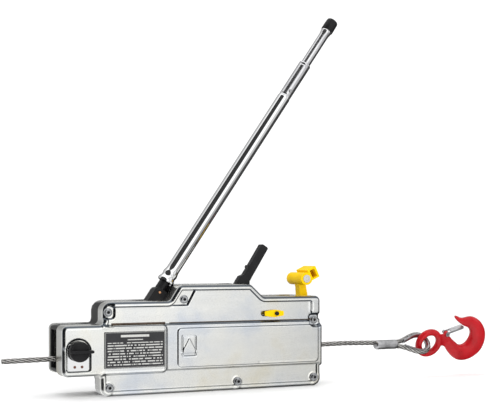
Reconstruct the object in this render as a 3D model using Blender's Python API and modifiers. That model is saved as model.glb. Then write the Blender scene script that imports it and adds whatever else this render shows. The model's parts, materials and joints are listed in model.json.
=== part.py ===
"""A lever-operated wire-rope puller with its rope, hook and telescopic handle.

Metres, +Z up. The origin is on the base, under the middle of the casing and on the rope's line.
+X runs along the rope towards the hook, and the front with its knob and label faces -Y.
"""
import math

import bmesh
import bpy
from mathutils import Matrix, Vector

# ---------------------------------------------------------------- driving dimensions
# Casing outline. The left ends, at the anchor box, the block above it and the body below it,
# differ from shell to frame to shell, and so does the fillet under the anchor box.
CASE_RIGHT = 0.3095
ANCHOR_LEFT = -0.298
FRONT_LEFTS = (ANCHOR_LEFT, -0.208, -0.214, 0.008)
FRAME_LEFTS = (-0.297, -0.207, -0.1985, 0.018)
REAR_LEFTS = (-0.2955, -0.199, -0.190, 0.018)
ANCHOR_BOTTOM = 0.045
ANCHOR_TOP = 0.152
BLOCK_TOP = 0.200
PLATEAU_TOP = 0.234
FLANGE_TOP = 0.206


def case_outline(anchor_left, block_left, body_left, fillet):
    """The casing's (x, z, corner radius), anticlockwise as seen from the front."""
    return [
        (body_left, 0.0, 0.018),
        (CASE_RIGHT, 0.0, 0.018),
        (CASE_RIGHT, FLANGE_TOP, 0.012),
        (0.165, FLANGE_TOP, 0.012),
        (0.135, PLATEAU_TOP, 0.014),
        (-0.036, PLATEAU_TOP, 0.014),
        (-0.058, BLOCK_TOP, 0.012),
        (block_left, BLOCK_TOP, 0.020),
        (block_left, ANCHOR_TOP, 0.010),
        (anchor_left, ANCHOR_TOP, 0.012),
        (anchor_left, ANCHOR_BOTTOM, 0.012),
        (body_left, ANCHOR_BOTTOM, fillet),
    ]


FRONT_OUTLINE = case_outline(*FRONT_LEFTS)
FRAME_OUTLINE = case_outline(*FRAME_LEFTS)
REAR_OUTLINE = case_outline(*REAR_LEFTS)
ARC_STEPS = 3
SHEET = 0.0026  # wall thickness of the pressed shells
RIM = 0.009  # rolled edge round the face of the front shell
GAP = 0.0003  # clearance between pieces that touch

# Depths from front (-Y) to rear (+Y).
FACE_Y = -0.061
BAND_Y = -0.065
ANCHOR_FACE_Y = -0.068
FRONT_SHELL_BACK = -0.0173
FRAME_FRONT = -0.017
FRAME_BACK = 0.0467
REAR_SHELL_FRONT = 0.047
REAR_FACE_Y = 0.065

BAND_BOTTOM = 0.049
BAND_RIGHT = 0.313
ANCHOR_BOX_RIGHT = -0.066
FRAME_INSET = 0.0025
FRAME_WALL = 0.006

BOLT_PLACES = [
    (-0.197, 0.178),
    (-0.025, 0.203),
    (-0.196, 0.019),
    (0.100, 0.019),
    (0.291, 0.020),
    (0.294, 0.151),
]
POCKETED_BOLTS = (0, 1, 5)
SHORT_BOLTS = (0, 2)  # these end in blind bosses of the frame, the others in the rear shell
SHORT_BOLT_END_Y = 0.010
BOSS_RADIUS = 0.0075
BOSS_FLOOR = 0.003
BOLT_RADIUS = 0.004
BOLT_HEAD_RADIUS = 0.0075
BOLT_HEAD_HEIGHT = 0.006
POCKET_RADIUS = 0.0155
POCKET_DEPTH = 0.0070
POCKET_HEAD_Y = FACE_Y + POCKET_DEPTH

# Rope and what is on it.
ROPE_Z = 0.0835  # over the origin
ROPE_SLOPE = 0.0145  # the straight-through rope climbs a little towards the hook
ROPE_RADIUS = 0.00575
ROPE_CLEARANCE = 0.0008
TAIL_END_X = -0.409
LEAD_BEND_X = 0.408  # straight up to here, so this much can be drawn into the outlet guide
FERRULE_X = (0.491, 0.552)
FERRULE_Z = 0.0822
FERRULE_RADIUS = 0.01125
EYE_LOOP_CENTRE_X = 0.618
EYE_LOOP_RADIUS = 0.02525
EYE_LOOP_TILT = math.radians(34.0)
LEG_OFFSET = 0.0061

# Levers: both pivots at one height, both leaning towards the hook at rest.
PIVOT_Z = 0.130
FORWARD_X = -0.1246
REVERSE_X = 0.0720
FORWARD_LEAN = math.radians(34.5)
REVERSE_LEAN = math.radians(32.3)
CRANK_LEAN = math.radians(34.5)
CRANK_RADIUS = 0.024
CRANK_PIN_RADIUS = 0.0045
PIVOT_RADIUS = 0.009
LEVER_HALF = 0.015
BELL_START = 0.1335  # from the forward pivot along the lever

# Jaw blocks.
JAW_HALF_LENGTH = 0.050
RIGHT_JAW_X = 0.190
LEFT_JAW_X = -0.125
CAGE_HALF_WIDTH = 0.016
CAGE_WALL = 0.003
CAGE_BOTTOM = 0.055
CAGE_TOP = 0.0965
LINK_INNER_Y = 0.0165
LINK_OUTER_Y = 0.0215
SIDE_PLATE_Y = (0.024, 0.028)

# Sling anchor.
ANCHOR_X = -0.2635
ANCHOR_Z = 0.0985
ANCHOR_PIN_RADIUS = 0.010
KNOB_RADIUS = 0.0215
RECESS_RADIUS = 0.0257
RECESS_FLOOR_Y = -0.062
RIVETS_X = (-0.271, -0.2555)
RIVET_Z = 0.066
RIVET_RADIUS = 0.002

# Release lever and indicator.
RELEASE_X = 0.284
RELEASE_Z = 0.176
BARREL_X = 0.285
BARREL_Z = 0.245
BARREL_RADIUS = 0.0145
BARREL_HALF = 0.038
SLEEVE_X = 0.3035
SLEEVE_Z = 0.2575
SLEEVE_TILT = math.radians(-25.0)
INDICATOR_X = (0.166, 0.213)
INDICATOR_Z = 0.168
INDICATOR_SCREW_X = 0.1945

# Hook, in its own plane about the centre of its eye. Each rib of the forging runs from the
# outer edge to the inner edge, (x, z, x, z), with its half thickness across the plane.
HOOK_EYE_X = 0.6460
HOOK_EYE_Z = 0.082
HOOK_TILT = math.radians(22.0)
HOOK_EYE_RADIUS = 0.029
HOOK_EYE_BAR = 0.0083
HOOK_RIBS = [
    ((0.0300, -0.0070, 0.0300, 0.0120), 0.0060),
    ((0.0420, -0.0080, 0.0480, 0.0230), 0.0056),
    ((0.0500, -0.0130, 0.0570, 0.0175), 0.0058),
    ((0.0573, -0.0210, 0.0640, 0.0110), 0.0080),
    ((0.0687, -0.0324, 0.0723, 0.0048), 0.0105),
    ((0.0814, -0.0423, 0.0816, -0.0017), 0.0125),
    ((0.0949, -0.0488, 0.0895, -0.0072), 0.0132),
    ((0.1093, -0.0512, 0.0985, -0.0088), 0.0136),
    ((0.1230, -0.0496, 0.1050, -0.0078), 0.0138),
    ((0.1366, -0.0442, 0.1095, -0.0055), 0.0140),
    ((0.1505, -0.0342, 0.1135, -0.0015), 0.0140),
    ((0.1608, -0.0204, 0.1168, 0.0045), 0.0140),
    ((0.1650, -0.0050, 0.1188, 0.0110), 0.0138),
    ((0.1652, 0.0095, 0.1195, 0.0160), 0.0135),
    ((0.1625, 0.0236, 0.1192, 0.0210), 0.0130),
    ((0.1559, 0.0378, 0.1177, 0.0262), 0.0124),
    ((0.1442, 0.0521, 0.1142, 0.0323), 0.0116),
    ((0.1291, 0.0633, 0.1095, 0.0373), 0.0106),
    ((0.1121, 0.0695, 0.1040, 0.0410), 0.0096),
    ((0.0989, 0.0690, 0.0948, 0.0438), 0.0086),
    ((0.0879, 0.0665, 0.0850, 0.0485), 0.0076),
    ((0.0776, 0.0672, 0.0725, 0.0565), 0.0062),
    ((0.0680, 0.0712, 0.0640, 0.0632), 0.0048),
    ((0.0600, 0.0735, 0.0588, 0.0684), 0.0030),
]
LATCH_PIVOT = (0.0465, 0.0242)
LATCH_LENGTH = 0.0465
LATCH_ANGLE = math.radians(18.5)


# ---------------------------------------------------------------- scene helpers
for old in list(bpy.data.objects):
    bpy.data.objects.remove(old, do_unlink=True)

PARTS = bpy.data.collections.new("rope_puller")
CUTTERS = bpy.data.collections.new("cutters")
for group in (PARTS, CUTTERS):
    bpy.context.scene.collection.children.link(group)


def material(name, colour, roughness, metallic):
    made = bpy.data.materials.new(name)
    made.use_nodes = True
    shader = made.node_tree.nodes["Principled BSDF"]
    shader.inputs["Base Color"].default_value = (*colour, 1.0)
    shader.inputs["Roughness"].default_value = roughness
    shader.inputs["Metallic"].default_value = metallic
    return made


ZINC = material("zinc_plated_steel", (0.72, 0.73, 0.70), 0.30, 1.0)
CHROME = material("chromed_steel", (0.80, 0.80, 0.80), 0.08, 1.0)
BLACK_STEEL = material("black_painted_steel", (0.015, 0.015, 0.016), 0.35, 0.0)
BLACK_PLASTIC = material("black_plastic", (0.02, 0.02, 0.02), 0.45, 0.0)
BARE_STEEL = material("bare_steel", (0.45, 0.45, 0.46), 0.35, 1.0)
ROPE_STEEL = material("rope_steel", (0.42, 0.41, 0.40), 0.40, 1.0)
YELLOW = material("yellow_plastic", (0.90, 0.62, 0.02), 0.35, 0.0)
GREY = material("grey_plastic", (0.55, 0.55, 0.53), 0.45, 0.0)
RED = material("red_painted_steel", (0.65, 0.02, 0.02), 0.25, 0.0)
COPPER = material("copper_pin", (0.75, 0.40, 0.20), 0.30, 1.0)
LABEL = material("label_black", (0.02, 0.02, 0.025), 0.40, 0.0)
SPRING = material("spring_steel", (0.35, 0.35, 0.37), 0.30, 1.0)


def keep(obj, name, surface, parent=None, smooth=True):
    """Names an object, gives it its material and puts it among the parts."""
    obj.name = name
    obj.data.name = name
    obj.data.materials.clear()
    obj.data.materials.append(surface)
    move_to(obj, PARTS)
    if parent is not None:
        obj.parent = parent
        obj.matrix_parent_inverse = parent.matrix_basis.inverted()
    if smooth and obj.type == "MESH":
        obj.data.shade_smooth()
        obj.data.set_sharp_from_angle(angle=math.radians(35.0))
    return obj


def move_to(obj, group):
    for old_group in list(obj.users_collection):
        old_group.objects.unlink(obj)
    group.objects.link(obj)


def cutter(obj):
    """Hides an object that only shapes others."""
    obj.hide_render = True
    obj.display_type = "WIRE"
    move_to(obj, CUTTERS)
    return obj


def axis_empty(name, place, rotation=(0.0, 0.0, 0.0)):
    """An empty on a joint's axis, which the pieces of that body hang from."""
    empty = bpy.data.objects.new(name, None)
    empty.location = place
    empty.rotation_euler = rotation
    PARTS.objects.link(empty)
    return empty


def combine(obj, operand, operation):
    change = obj.modifiers.new(operation.lower(), "BOOLEAN")
    change.operation = operation
    change.solver = "EXACT"
    change.object = cutter(operand)


def cut(obj, *operands):
    for operand in operands:
        combine(obj, operand, "DIFFERENCE")


def join(obj, *operands):
    for operand in operands:
        combine(obj, operand, "UNION")


# ---------------------------------------------------------------- shape helpers
def box(x, y, z, bevel=0.0):
    """A box between pairs of limits, with its edges rounded where a width is given."""
    bpy.ops.mesh.primitive_cube_add(size=1.0)
    made = bpy.context.object
    size = (x[1] - x[0], y[1] - y[0], z[1] - z[0])
    made.data.transform(Matrix.Diagonal((*size, 1.0)))
    made.location = ((x[0] + x[1]) / 2, (y[0] + y[1]) / 2, (z[0] + z[1]) / 2)
    if bevel:
        edge = made.modifiers.new("edges", "BEVEL")
        edge.width = bevel
        edge.segments = 2
    return made


def rod(radius, start, end, sides=16):
    """A cylinder from one point to another."""
    line = Vector(end) - Vector(start)
    bpy.ops.mesh.primitive_cylinder_add(vertices=sides, radius=radius, depth=line.length)
    made = bpy.context.object
    made.rotation_euler = line.to_track_quat("Z", "Y").to_euler()
    made.location = (Vector(start) + Vector(end)) / 2
    return made


def turned(profile, place, rotation, steps=20, closed=False):
    """A profile of (radius, height) turned about its own Z, from the top down its outer side."""
    mesh = bpy.data.meshes.new("profile")
    points = [(radius, 0.0, height) for radius, height in profile]
    edges = [(i, i + 1) for i in range(len(points) - 1)]
    if closed:
        edges.append((len(points) - 1, 0))
    mesh.from_pydata(points, edges, [])
    made = bpy.data.objects.new("turned", mesh)
    PARTS.objects.link(made)
    screw = made.modifiers.new("turn", "SCREW")
    screw.steps = steps
    screw.render_steps = steps
    screw.use_merge_vertices = True
    screw.merge_threshold = 0.00005
    made.location = place
    made.rotation_euler = rotation
    return made


def tube(points, radius, sides=2):
    """A round bar along a list of points, with closed ends."""
    data = bpy.data.curves.new("tube", "CURVE")
    data.dimensions = "3D"
    line = data.splines.new("POLY")
    line.points.add(len(points) - 1)
    for spot, point in zip(line.points, points):
        spot.co = (*point[:3], 1.0)
        spot.radius = point[3] if len(point) > 3 else 1.0
    data.bevel_depth = radius
    data.bevel_resolution = sides
    data.use_fill_caps = True
    made = bpy.data.objects.new("tube", data)
    PARTS.objects.link(made)
    return made


def rounded(corners, inset=0.0, steps=ARC_STEPS):
    """Points round a polygon of (x, z, radius) corners, moved inwards by inset."""
    points = []
    count = len(corners)
    for i, (x, z, radius) in enumerate(corners):
        here = Vector((x, z))
        before = (here - Vector(corners[i - 1][:2])).normalized()
        after = (Vector(corners[(i + 1) % count][:2]) - here).normalized()
        inward = Vector((-before.y, before.x)) + Vector((-after.y, after.x))
        corner = here + inward * (inset / (1.0 + before.dot(after)))
        turn = math.atan2(before.x * after.y - before.y * after.x, before.dot(after))
        bend = max(radius - math.copysign(inset, turn), 0.0004)
        reach = bend * math.tan(abs(turn) / 2)
        side = math.copysign(1.0, turn)
        centre = corner - before * reach + Vector((-before.y, before.x)) * bend * side
        spoke = (corner - before * reach) - centre
        for k in range(steps + 1):
            swing = Matrix.Rotation(turn * k / steps, 2)
            points.append(centre + swing @ spoke)
    return points


def circle(x, z, radius, sides=16):
    turn = 2 * math.pi / sides
    return [(x + radius * math.cos(turn * k), z + radius * math.sin(turn * k)) for k in range(sides)]


def slot(x, z_low, z_high, half_width, steps=5):
    """An upright slot with round ends."""
    points = []
    for z, start in ((z_high - half_width, 0.0), (z_low + half_width, math.pi)):
        for k in range(steps + 1):
            angle = start + math.pi * k / steps
            points.append((x + half_width * math.cos(angle), z + half_width * math.sin(angle)))
    return points


def plate(loops, y_limits):
    """A flat piece whose outline and holes lie in the XZ plane."""
    data = bpy.data.curves.new("plate", "CURVE")
    data.dimensions = "2D"
    data.fill_mode = "BOTH"
    data.extrude = (y_limits[1] - y_limits[0]) / 2
    for loop in loops:
        line = data.splines.new("POLY")
        line.points.add(len(loop) - 1)
        for spot, point in zip(line.points, loop):
            spot.co = (point[0], point[1], 0.0, 1.0)
        line.use_cyclic_u = True
    made = bpy.data.objects.new("plate", data)
    made.rotation_euler = (math.pi / 2, 0.0, 0.0)
    made.location = (0.0, (y_limits[0] + y_limits[1]) / 2, 0.0)
    PARTS.objects.link(made)
    return made


def as_mesh(obj):
    """A mesh in place of a curve, with its caps welded on."""
    bpy.context.view_layer.update()
    graph = bpy.context.evaluated_depsgraph_get()
    mesh = bpy.data.meshes.new_from_object(obj.evaluated_get(graph))
    work = bmesh.new()
    work.from_mesh(mesh)
    bmesh.ops.remove_doubles(work, verts=work.verts, dist=0.00001)
    bmesh.ops.recalc_face_normals(work, faces=work.faces)
    work.to_mesh(mesh)
    work.free()
    made = bpy.data.objects.new(obj.name, mesh)
    made.matrix_world = obj.matrix_world.copy()
    PARTS.objects.link(made)
    bpy.data.objects.remove(obj, do_unlink=True)
    return made


def loft(sections):
    """A solid through sections of equal point counts, capped at both ends."""
    work = bmesh.new()
    rings = [[work.verts.new(point) for point in section] for section in sections]
    for ring, following in zip(rings, rings[1:]):
        count = len(ring)
        for k in range(count):
            after = (k + 1) % count
            work.faces.new((ring[k], ring[after], following[after], following[k]))
    work.faces.new(rings[0])
    work.faces.new(rings[-1])
    bmesh.ops.recalc_face_normals(work, faces=work.faces)
    mesh = bpy.data.meshes.new("loft")
    work.to_mesh(mesh)
    work.free()
    made = bpy.data.objects.new("loft", mesh)
    PARTS.objects.link(made)
    return made


def pressed(corners, rings, steps=ARC_STEPS):
    """A solid of a rounded outline, through (inset, y) rings."""
    return loft([[(p[0], y, p[1]) for p in rounded(corners, inset, steps)] for inset, y in rings])


def rectangle(x, z, radius):
    return [(x[0], z[0], radius), (x[1], z[0], radius), (x[1], z[1], radius), (x[0], z[1], radius)]


def leaning(lean, pivot_x):
    """A function from (across, along) a lever to (x, z)."""
    along = Vector((math.sin(lean), math.cos(lean)))
    across = Vector((math.cos(lean), -math.sin(lean)))
    return lambda v, u: Vector((pivot_x, PIVOT_Z)) + across * v + along * u


# ---------------------------------------------------------------- casing
BAND = rectangle((-0.190, BAND_RIGHT), (BAND_BOTTOM, ANCHOR_TOP), 0.006)
ANCHOR_BOX = rectangle(
    (ANCHOR_LEFT - 0.0004, ANCHOR_BOX_RIGHT), (ANCHOR_BOTTOM - 0.0004, ANCHOR_TOP + 0.0004), 0.013
)
RECESS = [
    (ANCHOR_X + RECESS_RADIUS, 0.056, 0.006),
    (ANCHOR_X + RECESS_RADIUS, ANCHOR_Z + RECESS_RADIUS, RECESS_RADIUS - 0.0002),
    (ANCHOR_X - RECESS_RADIUS, ANCHOR_Z + RECESS_RADIUS, RECESS_RADIUS - 0.0002),
    (ANCHOR_X - RECESS_RADIUS, 0.056, 0.006),
]
RECESS_STEPS = 6


def front_shell():
    """A tray with a raised band, a raised anchor box, dished bolt pockets and the knob's recess."""
    back = FRONT_SHELL_BACK
    shell = pressed(
        FRONT_OUTLINE,
        [(0.0, back), (0.0, FACE_Y + RIM), (RIM * 0.3, FACE_Y + RIM * 0.3), (RIM, FACE_Y)],
    )
    join(
        shell,
        pressed(BAND, [(0.0, back), (0.0, BAND_Y + 0.004), (0.004, BAND_Y)]),
        pressed(ANCHOR_BOX, [(0.0, back), (0.0, ANCHOR_FACE_Y + 0.007), (0.007, ANCHOR_FACE_Y)]),
    )
    pockets = [BOLT_PLACES[i] for i in POCKETED_BOLTS]
    for x, z in pockets:
        cut(shell, rod(POCKET_RADIUS, (x, -0.08, z), (x, POCKET_HEAD_Y, z)))
    recess_outline = list(reversed(rounded(RECESS, 0.0, RECESS_STEPS)))
    cut(shell, as_mesh(plate([recess_outline], (-0.08, RECESS_FLOOR_Y))))

    hollow = pressed(
        FRONT_OUTLINE,
        [
            (SHEET, 0.0),
            (SHEET, FACE_Y + RIM),
            (SHEET + RIM * 0.25, FACE_Y + RIM * 0.3 + SHEET),
            (SHEET + RIM * 0.9, FACE_Y + SHEET),
        ],
    )
    join(
        hollow,
        pressed(BAND, [(SHEET, 0.001), (SHEET, BAND_Y + 0.006), (0.005, BAND_Y + SHEET)]),
        pressed(ANCHOR_BOX, [(SHEET + 0.0004, 0.002), (SHEET + 0.0004, -0.060), (0.0085, -0.0654)]),
    )
    for x, z in pockets:
        cut(hollow, rod(POCKET_RADIUS + SHEET, (x, -0.09, z), (x, POCKET_HEAD_Y + SHEET, z)))
    boss_outline = list(reversed(rounded(RECESS, -SHEET, RECESS_STEPS)))
    cut(hollow, as_mesh(plate([boss_outline], (-0.09, RECESS_FLOOR_Y + SHEET))))
    cut(shell, hollow)

    for x, z in BOLT_PLACES:
        cut(shell, rod(BOLT_RADIUS + GAP, (x, -0.1, z), (x, -0.03, z)))
    hole = ANCHOR_PIN_RADIUS + GAP
    cut(shell, rod(hole, (ANCHOR_X, -0.1, ANCHOR_Z), (ANCHOR_X, -0.03, ANCHOR_Z), 24))
    cut(shell, box((0.160, 0.201), (-0.09, -0.03), (INDICATOR_Z - 0.0045, INDICATOR_Z + 0.0045)))
    keep(shell, "front_shell", ZINC)


def rear_shell():
    """A shallow tray that closes the casing from behind."""
    rim = 0.006
    front = REAR_SHELL_FRONT
    shell = pressed(REAR_OUTLINE, [(0.0, front), (0.0, REAR_FACE_Y - rim), (rim, REAR_FACE_Y)])
    inner = REAR_FACE_Y - SHEET
    cut(
        shell,
        pressed(REAR_OUTLINE, [(SHEET, front - 0.01), (SHEET, inner - rim), (SHEET + rim, inner)]),
    )
    for number, (x, z) in enumerate(BOLT_PLACES):
        if number not in SHORT_BOLTS:
            cut(shell, rod(BOLT_RADIUS + GAP, (x, 0.03, z), (x, 0.1, z)))
    hole = ANCHOR_PIN_RADIUS + GAP
    cut(shell, rod(hole, (ANCHOR_X, 0.03, ANCHOR_Z), (ANCHOR_X, 0.1, ANCHOR_Z), 24))
    keep(shell, "rear_shell", ZINC)


def inner_frame():
    """A ring between the shells, with a flat foot and openings for levers, sling and rope."""
    outer = rounded(FRAME_OUTLINE, FRAME_INSET)
    lowest = min(point[1] for point in outer)
    outer = [(p[0], 0.0 if p[1] < lowest + 0.0001 else p[1]) for p in outer]
    inner = rounded(FRAME_OUTLINE, FRAME_INSET + FRAME_WALL)
    frame = as_mesh(plate([outer, inner], (FRAME_FRONT, FRAME_BACK)))
    for x, z in [BOLT_PLACES[i] for i in SHORT_BOLTS]:
        bore_end = SHORT_BOLT_END_Y + GAP
        join(frame, rod(BOSS_RADIUS, (x, FRAME_FRONT, z), (x, bore_end + BOSS_FLOOR, z)))
        cut(frame, rod(BOLT_RADIUS + GAP, (x, FRAME_FRONT - 0.01, z), (x, bore_end, z)))
    lever_room = LEVER_HALF + 0.0015
    cut(
        frame,
        box((-0.190, 0.160), (-0.03, lever_room), (0.184, 0.250)),
        box((0.262, 0.3035), (-0.03, 0.0135), (0.186, 0.220)),
        box((-0.310, -0.284), (-0.012, 0.042), (0.058, 0.140)),
        rope_bore(0.0113, 0.29, 0.33),
    )
    keep(frame, "inner_frame", BLACK_STEEL)


def bolts():
    """Six socket-headed bolts through the front shell."""
    for number, (x, z) in enumerate(BOLT_PLACES, 1):
        seat = POCKET_HEAD_Y if number - 1 in POCKETED_BOLTS else FACE_Y
        seat -= GAP
        head = BOLT_HEAD_HEIGHT
        end = SHORT_BOLT_END_Y if number - 1 in SHORT_BOLTS else REAR_FACE_Y + 0.002
        tail = end - seat
        profile = [
            (0.0, head - 0.003),
            (0.0038, head - 0.003),
            (0.0038, head),
            (BOLT_HEAD_RADIUS - 0.001, head),
            (BOLT_HEAD_RADIUS, head - 0.001),
            (BOLT_HEAD_RADIUS, 0.0),
            (BOLT_RADIUS, 0.0),
            (BOLT_RADIUS, -tail),
            (0.0, -tail),
        ]
        bolt = turned(profile, (x, seat, z), (math.pi / 2, 0.0, 0.0), 12)
        keep(bolt, f"casing_bolt_{number}", BARE_STEEL)


def trim():
    """Label plate, and the keeper plate with its two rivets."""
    label_y = ANCHOR_FACE_Y - GAP
    label = box((-0.208, -0.0735), (label_y - 0.001, label_y), (0.060, 0.137))
    keep(label, "label_plate", LABEL, smooth=False)

    keeper_y = RECESS_FLOOR_Y - GAP
    outline = rounded(rectangle((-0.286, -0.241), (0.0575, 0.113), 0.006))
    holes = [circle(x, RIVET_Z, RIVET_RADIUS + GAP, 10) for x in RIVETS_X]
    holes.append(circle(ANCHOR_X, ANCHOR_Z, ANCHOR_PIN_RADIUS + GAP, 20))
    keeper = plate([outline, *holes], (keeper_y - 0.0015, keeper_y))
    keep(keeper, "keeper_plate", CHROME)
    head = 0.0015
    profile = [
        (0.0, head),
        (0.0022, head - 0.0005),
        (0.0030, 0.0),
        (RIVET_RADIUS, 0.0),
        (RIVET_RADIUS, -0.0016),
        (0.0, -0.0016),
    ]
    for number, x in enumerate(RIVETS_X, 1):
        place = (x, keeper_y - 0.0015 - GAP, RIVET_Z)
        rivet = turned(profile, place, (math.pi / 2, 0.0, 0.0), 10)
        keep(rivet, f"keeper_rivet_{number}", COPPER)


# ---------------------------------------------------------------- inner mechanism
def side_plates():
    """Two plates that carry the lever shafts and guide the jaw cages."""
    outline = rounded(rectangle((-0.183, 0.268), (0.0095, 0.146), 0.010))
    holes = [circle(x, PIVOT_Z, PIVOT_RADIUS + GAP, 20) for x in (FORWARD_X, REVERSE_X)]
    holes.append(circle(*BOLT_PLACES[3], BOLT_RADIUS + GAP, 12))
    near, far = SIDE_PLATE_Y
    for name, limits in (("front", (-far, -near)), ("rear", (near, far))):
        keep(plate([outline, *holes], limits), f"side_plate_{name}", BARE_STEEL)


def shafts():
    """Pivots of the three levers, from shell to shell."""
    places = (
        ("forward_pivot_shaft", FORWARD_X, PIVOT_Z, PIVOT_RADIUS, -0.0645),
        ("reverse_pivot_shaft", REVERSE_X, PIVOT_Z, PIVOT_RADIUS, -0.0615),
        ("release_shaft", RELEASE_X, RELEASE_Z, 0.005, -0.0575),
    )
    for name, x, z, radius, front in places:
        keep(rod(radius, (x, front, z), (x, 0.0615, z), 20), name, BARE_STEEL)


def on_rope(x):
    """The point of the rope's centreline at x."""
    return (x, 0.0, ROPE_Z + ROPE_SLOPE * x)


def rope_bore(radius, start_x, end_x):
    """A cutter along the rope."""
    return rod(radius, on_rope(start_x), on_rope(end_x))


def rope_guides():
    bore = ROPE_RADIUS + ROPE_CLEARANCE
    block = box((-0.222, -0.204), (-0.015, 0.015), (0.0540, 0.100))
    cut(block, rope_bore(bore, -0.25, -0.19))
    keep(block, "rope_guide_inlet", BARE_STEEL)
    profile = [(0.0110, 0.020), (0.0110, 0.0), (bore, 0.0), (bore, 0.020)]
    along_rope = (0.0, math.pi / 2 - math.atan(ROPE_SLOPE), 0.0)
    bush = turned(profile, on_rope(0.290), along_rope, 16, closed=True)
    keep(bush, "rope_guide_outlet", BARE_STEEL)


def crank_places(pivot_x):
    """Upper and lower crank pin centres of a lever."""
    at = leaning(CRANK_LEAN, pivot_x)
    return at(0.0, CRANK_RADIUS), at(0.0, -CRANK_RADIUS)


def crank_pins(lever, pivot_x):
    """A pin to the front above the pivot, and one to the rear below it."""
    upper, lower = crank_places(pivot_x)
    reach = LINK_OUTER_Y + 0.001
    join(
        lever,
        rod(CRANK_PIN_RADIUS, (upper.x, -reach, upper.y), (upper.x, 0.0, upper.y), 12),
        rod(CRANK_PIN_RADIUS, (lower.x, 0.0, lower.y), (lower.x, reach, lower.y), 12),
    )


def lever_body(corners, lean, pivot_x, half):
    """A lever's flat body from (across, along, radius) corners, with its pivot bore."""
    at = leaning(lean, pivot_x)
    outline = rounded([(*at(v, u), radius) for v, u, radius in corners])
    bore = circle(pivot_x, PIVOT_Z, PIVOT_RADIUS + GAP, 20)
    return as_mesh(plate([outline, bore], (-half, half)))


def forward_lever(body):
    corners = [
        (-0.020, -0.030, 0.012),
        (0.020, -0.030, 0.012),
        (0.022, 0.025, 0.010),
        (0.019, 0.060, 0.020),
        (0.019, 0.114, 0.004),
        (-0.015, 0.114, 0.009),
        (-0.015, 0.060, 0.020),
        (-0.022, 0.025, 0.010),
    ]
    lever = lever_body(corners, FORWARD_LEAN, FORWARD_X, LEVER_HALF)
    at = leaning(FORWARD_LEAN, FORWARD_X)
    low, high = at(0.0, 0.100), at(0.0, BELL_START + 0.060)
    join(lever, rod(0.0126, (low.x, 0.0, low.y), (high.x, 0.0, high.y), 20))
    crank_pins(lever, FORWARD_X)
    pin = at(-0.002, 0.105)
    ends = (pin.x, -LEVER_HALF - 0.01, pin.y), (pin.x, LEVER_HALF + 0.01, pin.y)
    cut(lever, rod(0.0029, *ends, 10))
    keep(lever, "forward_lever", BLACK_STEEL, body)
    ends = (pin.x, -LEVER_HALF - 0.0008, pin.y), (pin.x, LEVER_HALF + 0.0008, pin.y)
    keep(rod(0.0026, *ends, 10), "shear_pin", COPPER, body)


def reverse_lever(body):
    half = 0.0085
    corners = [
        (-0.020, -0.030, 0.012),
        (0.020, -0.030, 0.012),
        (0.022, 0.025, 0.010),
        (0.016, 0.060, 0.010),
        (0.016, 0.127, 0.004),
        (0.010, 0.136, 0.003),
        (0.0095, 0.226, 0.004),
        (-0.0095, 0.226, 0.004),
        (-0.0095, 0.168, 0.001),
        (-0.0125, 0.166, 0.001),
        (-0.0125, 0.161, 0.001),
        (-0.0095, 0.159, 0.001),
        (-0.010, 0.142, 0.003),
        (-0.016, 0.134, 0.003),
        (-0.016, 0.060, 0.010),
        (-0.022, 0.025, 0.010),
    ]
    lever = lever_body(corners, REVERSE_LEAN, REVERSE_X, half)
    crank_pins(lever, REVERSE_X)
    keep(lever, "reverse_lever", BLACK_STEEL, body)


def links(right_body, left_body):
    """Slotted bars: the upper one moves the right jaw, the lower one the left jaw."""
    pins = [crank_places(x) for x in (FORWARD_X, REVERSE_X)]
    slot_half = CRANK_PIN_RADIUS + 0.0005
    pin_hole = 0.0053
    upper = [
        (-0.125, 0.140, 0.004),
        (0.168, 0.140, 0.004),
        (0.172, 0.066, 0.004),
        (0.208, 0.066, 0.004),
        (0.208, 0.166, 0.008),
        (-0.125, 0.166, 0.004),
    ]
    upper_slots = [slot(pin[0].x, 0.1435, 0.1600, slot_half) for pin in pins]
    holes = upper_slots + [circle(RIGHT_JAW_X, 0.076, pin_hole, 12)]
    link = plate([rounded(upper), *holes], (-LINK_OUTER_Y, -LINK_INNER_Y))
    keep(link, "upper_link", BARE_STEEL, right_body)

    lower = [
        (-0.156, 0.066, 0.004),
        (-0.108, 0.066, 0.004),
        (-0.108, 0.093, 0.004),
        (0.072, 0.093, 0.004),
        (0.072, 0.1195, 0.004),
        (-0.156, 0.1195, 0.004),
    ]
    lower_slots = [slot(pin[1].x, 0.0995, 0.1160, slot_half) for pin in pins]
    holes = lower_slots + [circle(LEFT_JAW_X, 0.076, pin_hole, 12)]
    link = plate([rounded(lower), *holes], (LINK_INNER_Y, LINK_OUTER_Y))
    keep(link, "lower_link", BARE_STEEL, left_body)


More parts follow.
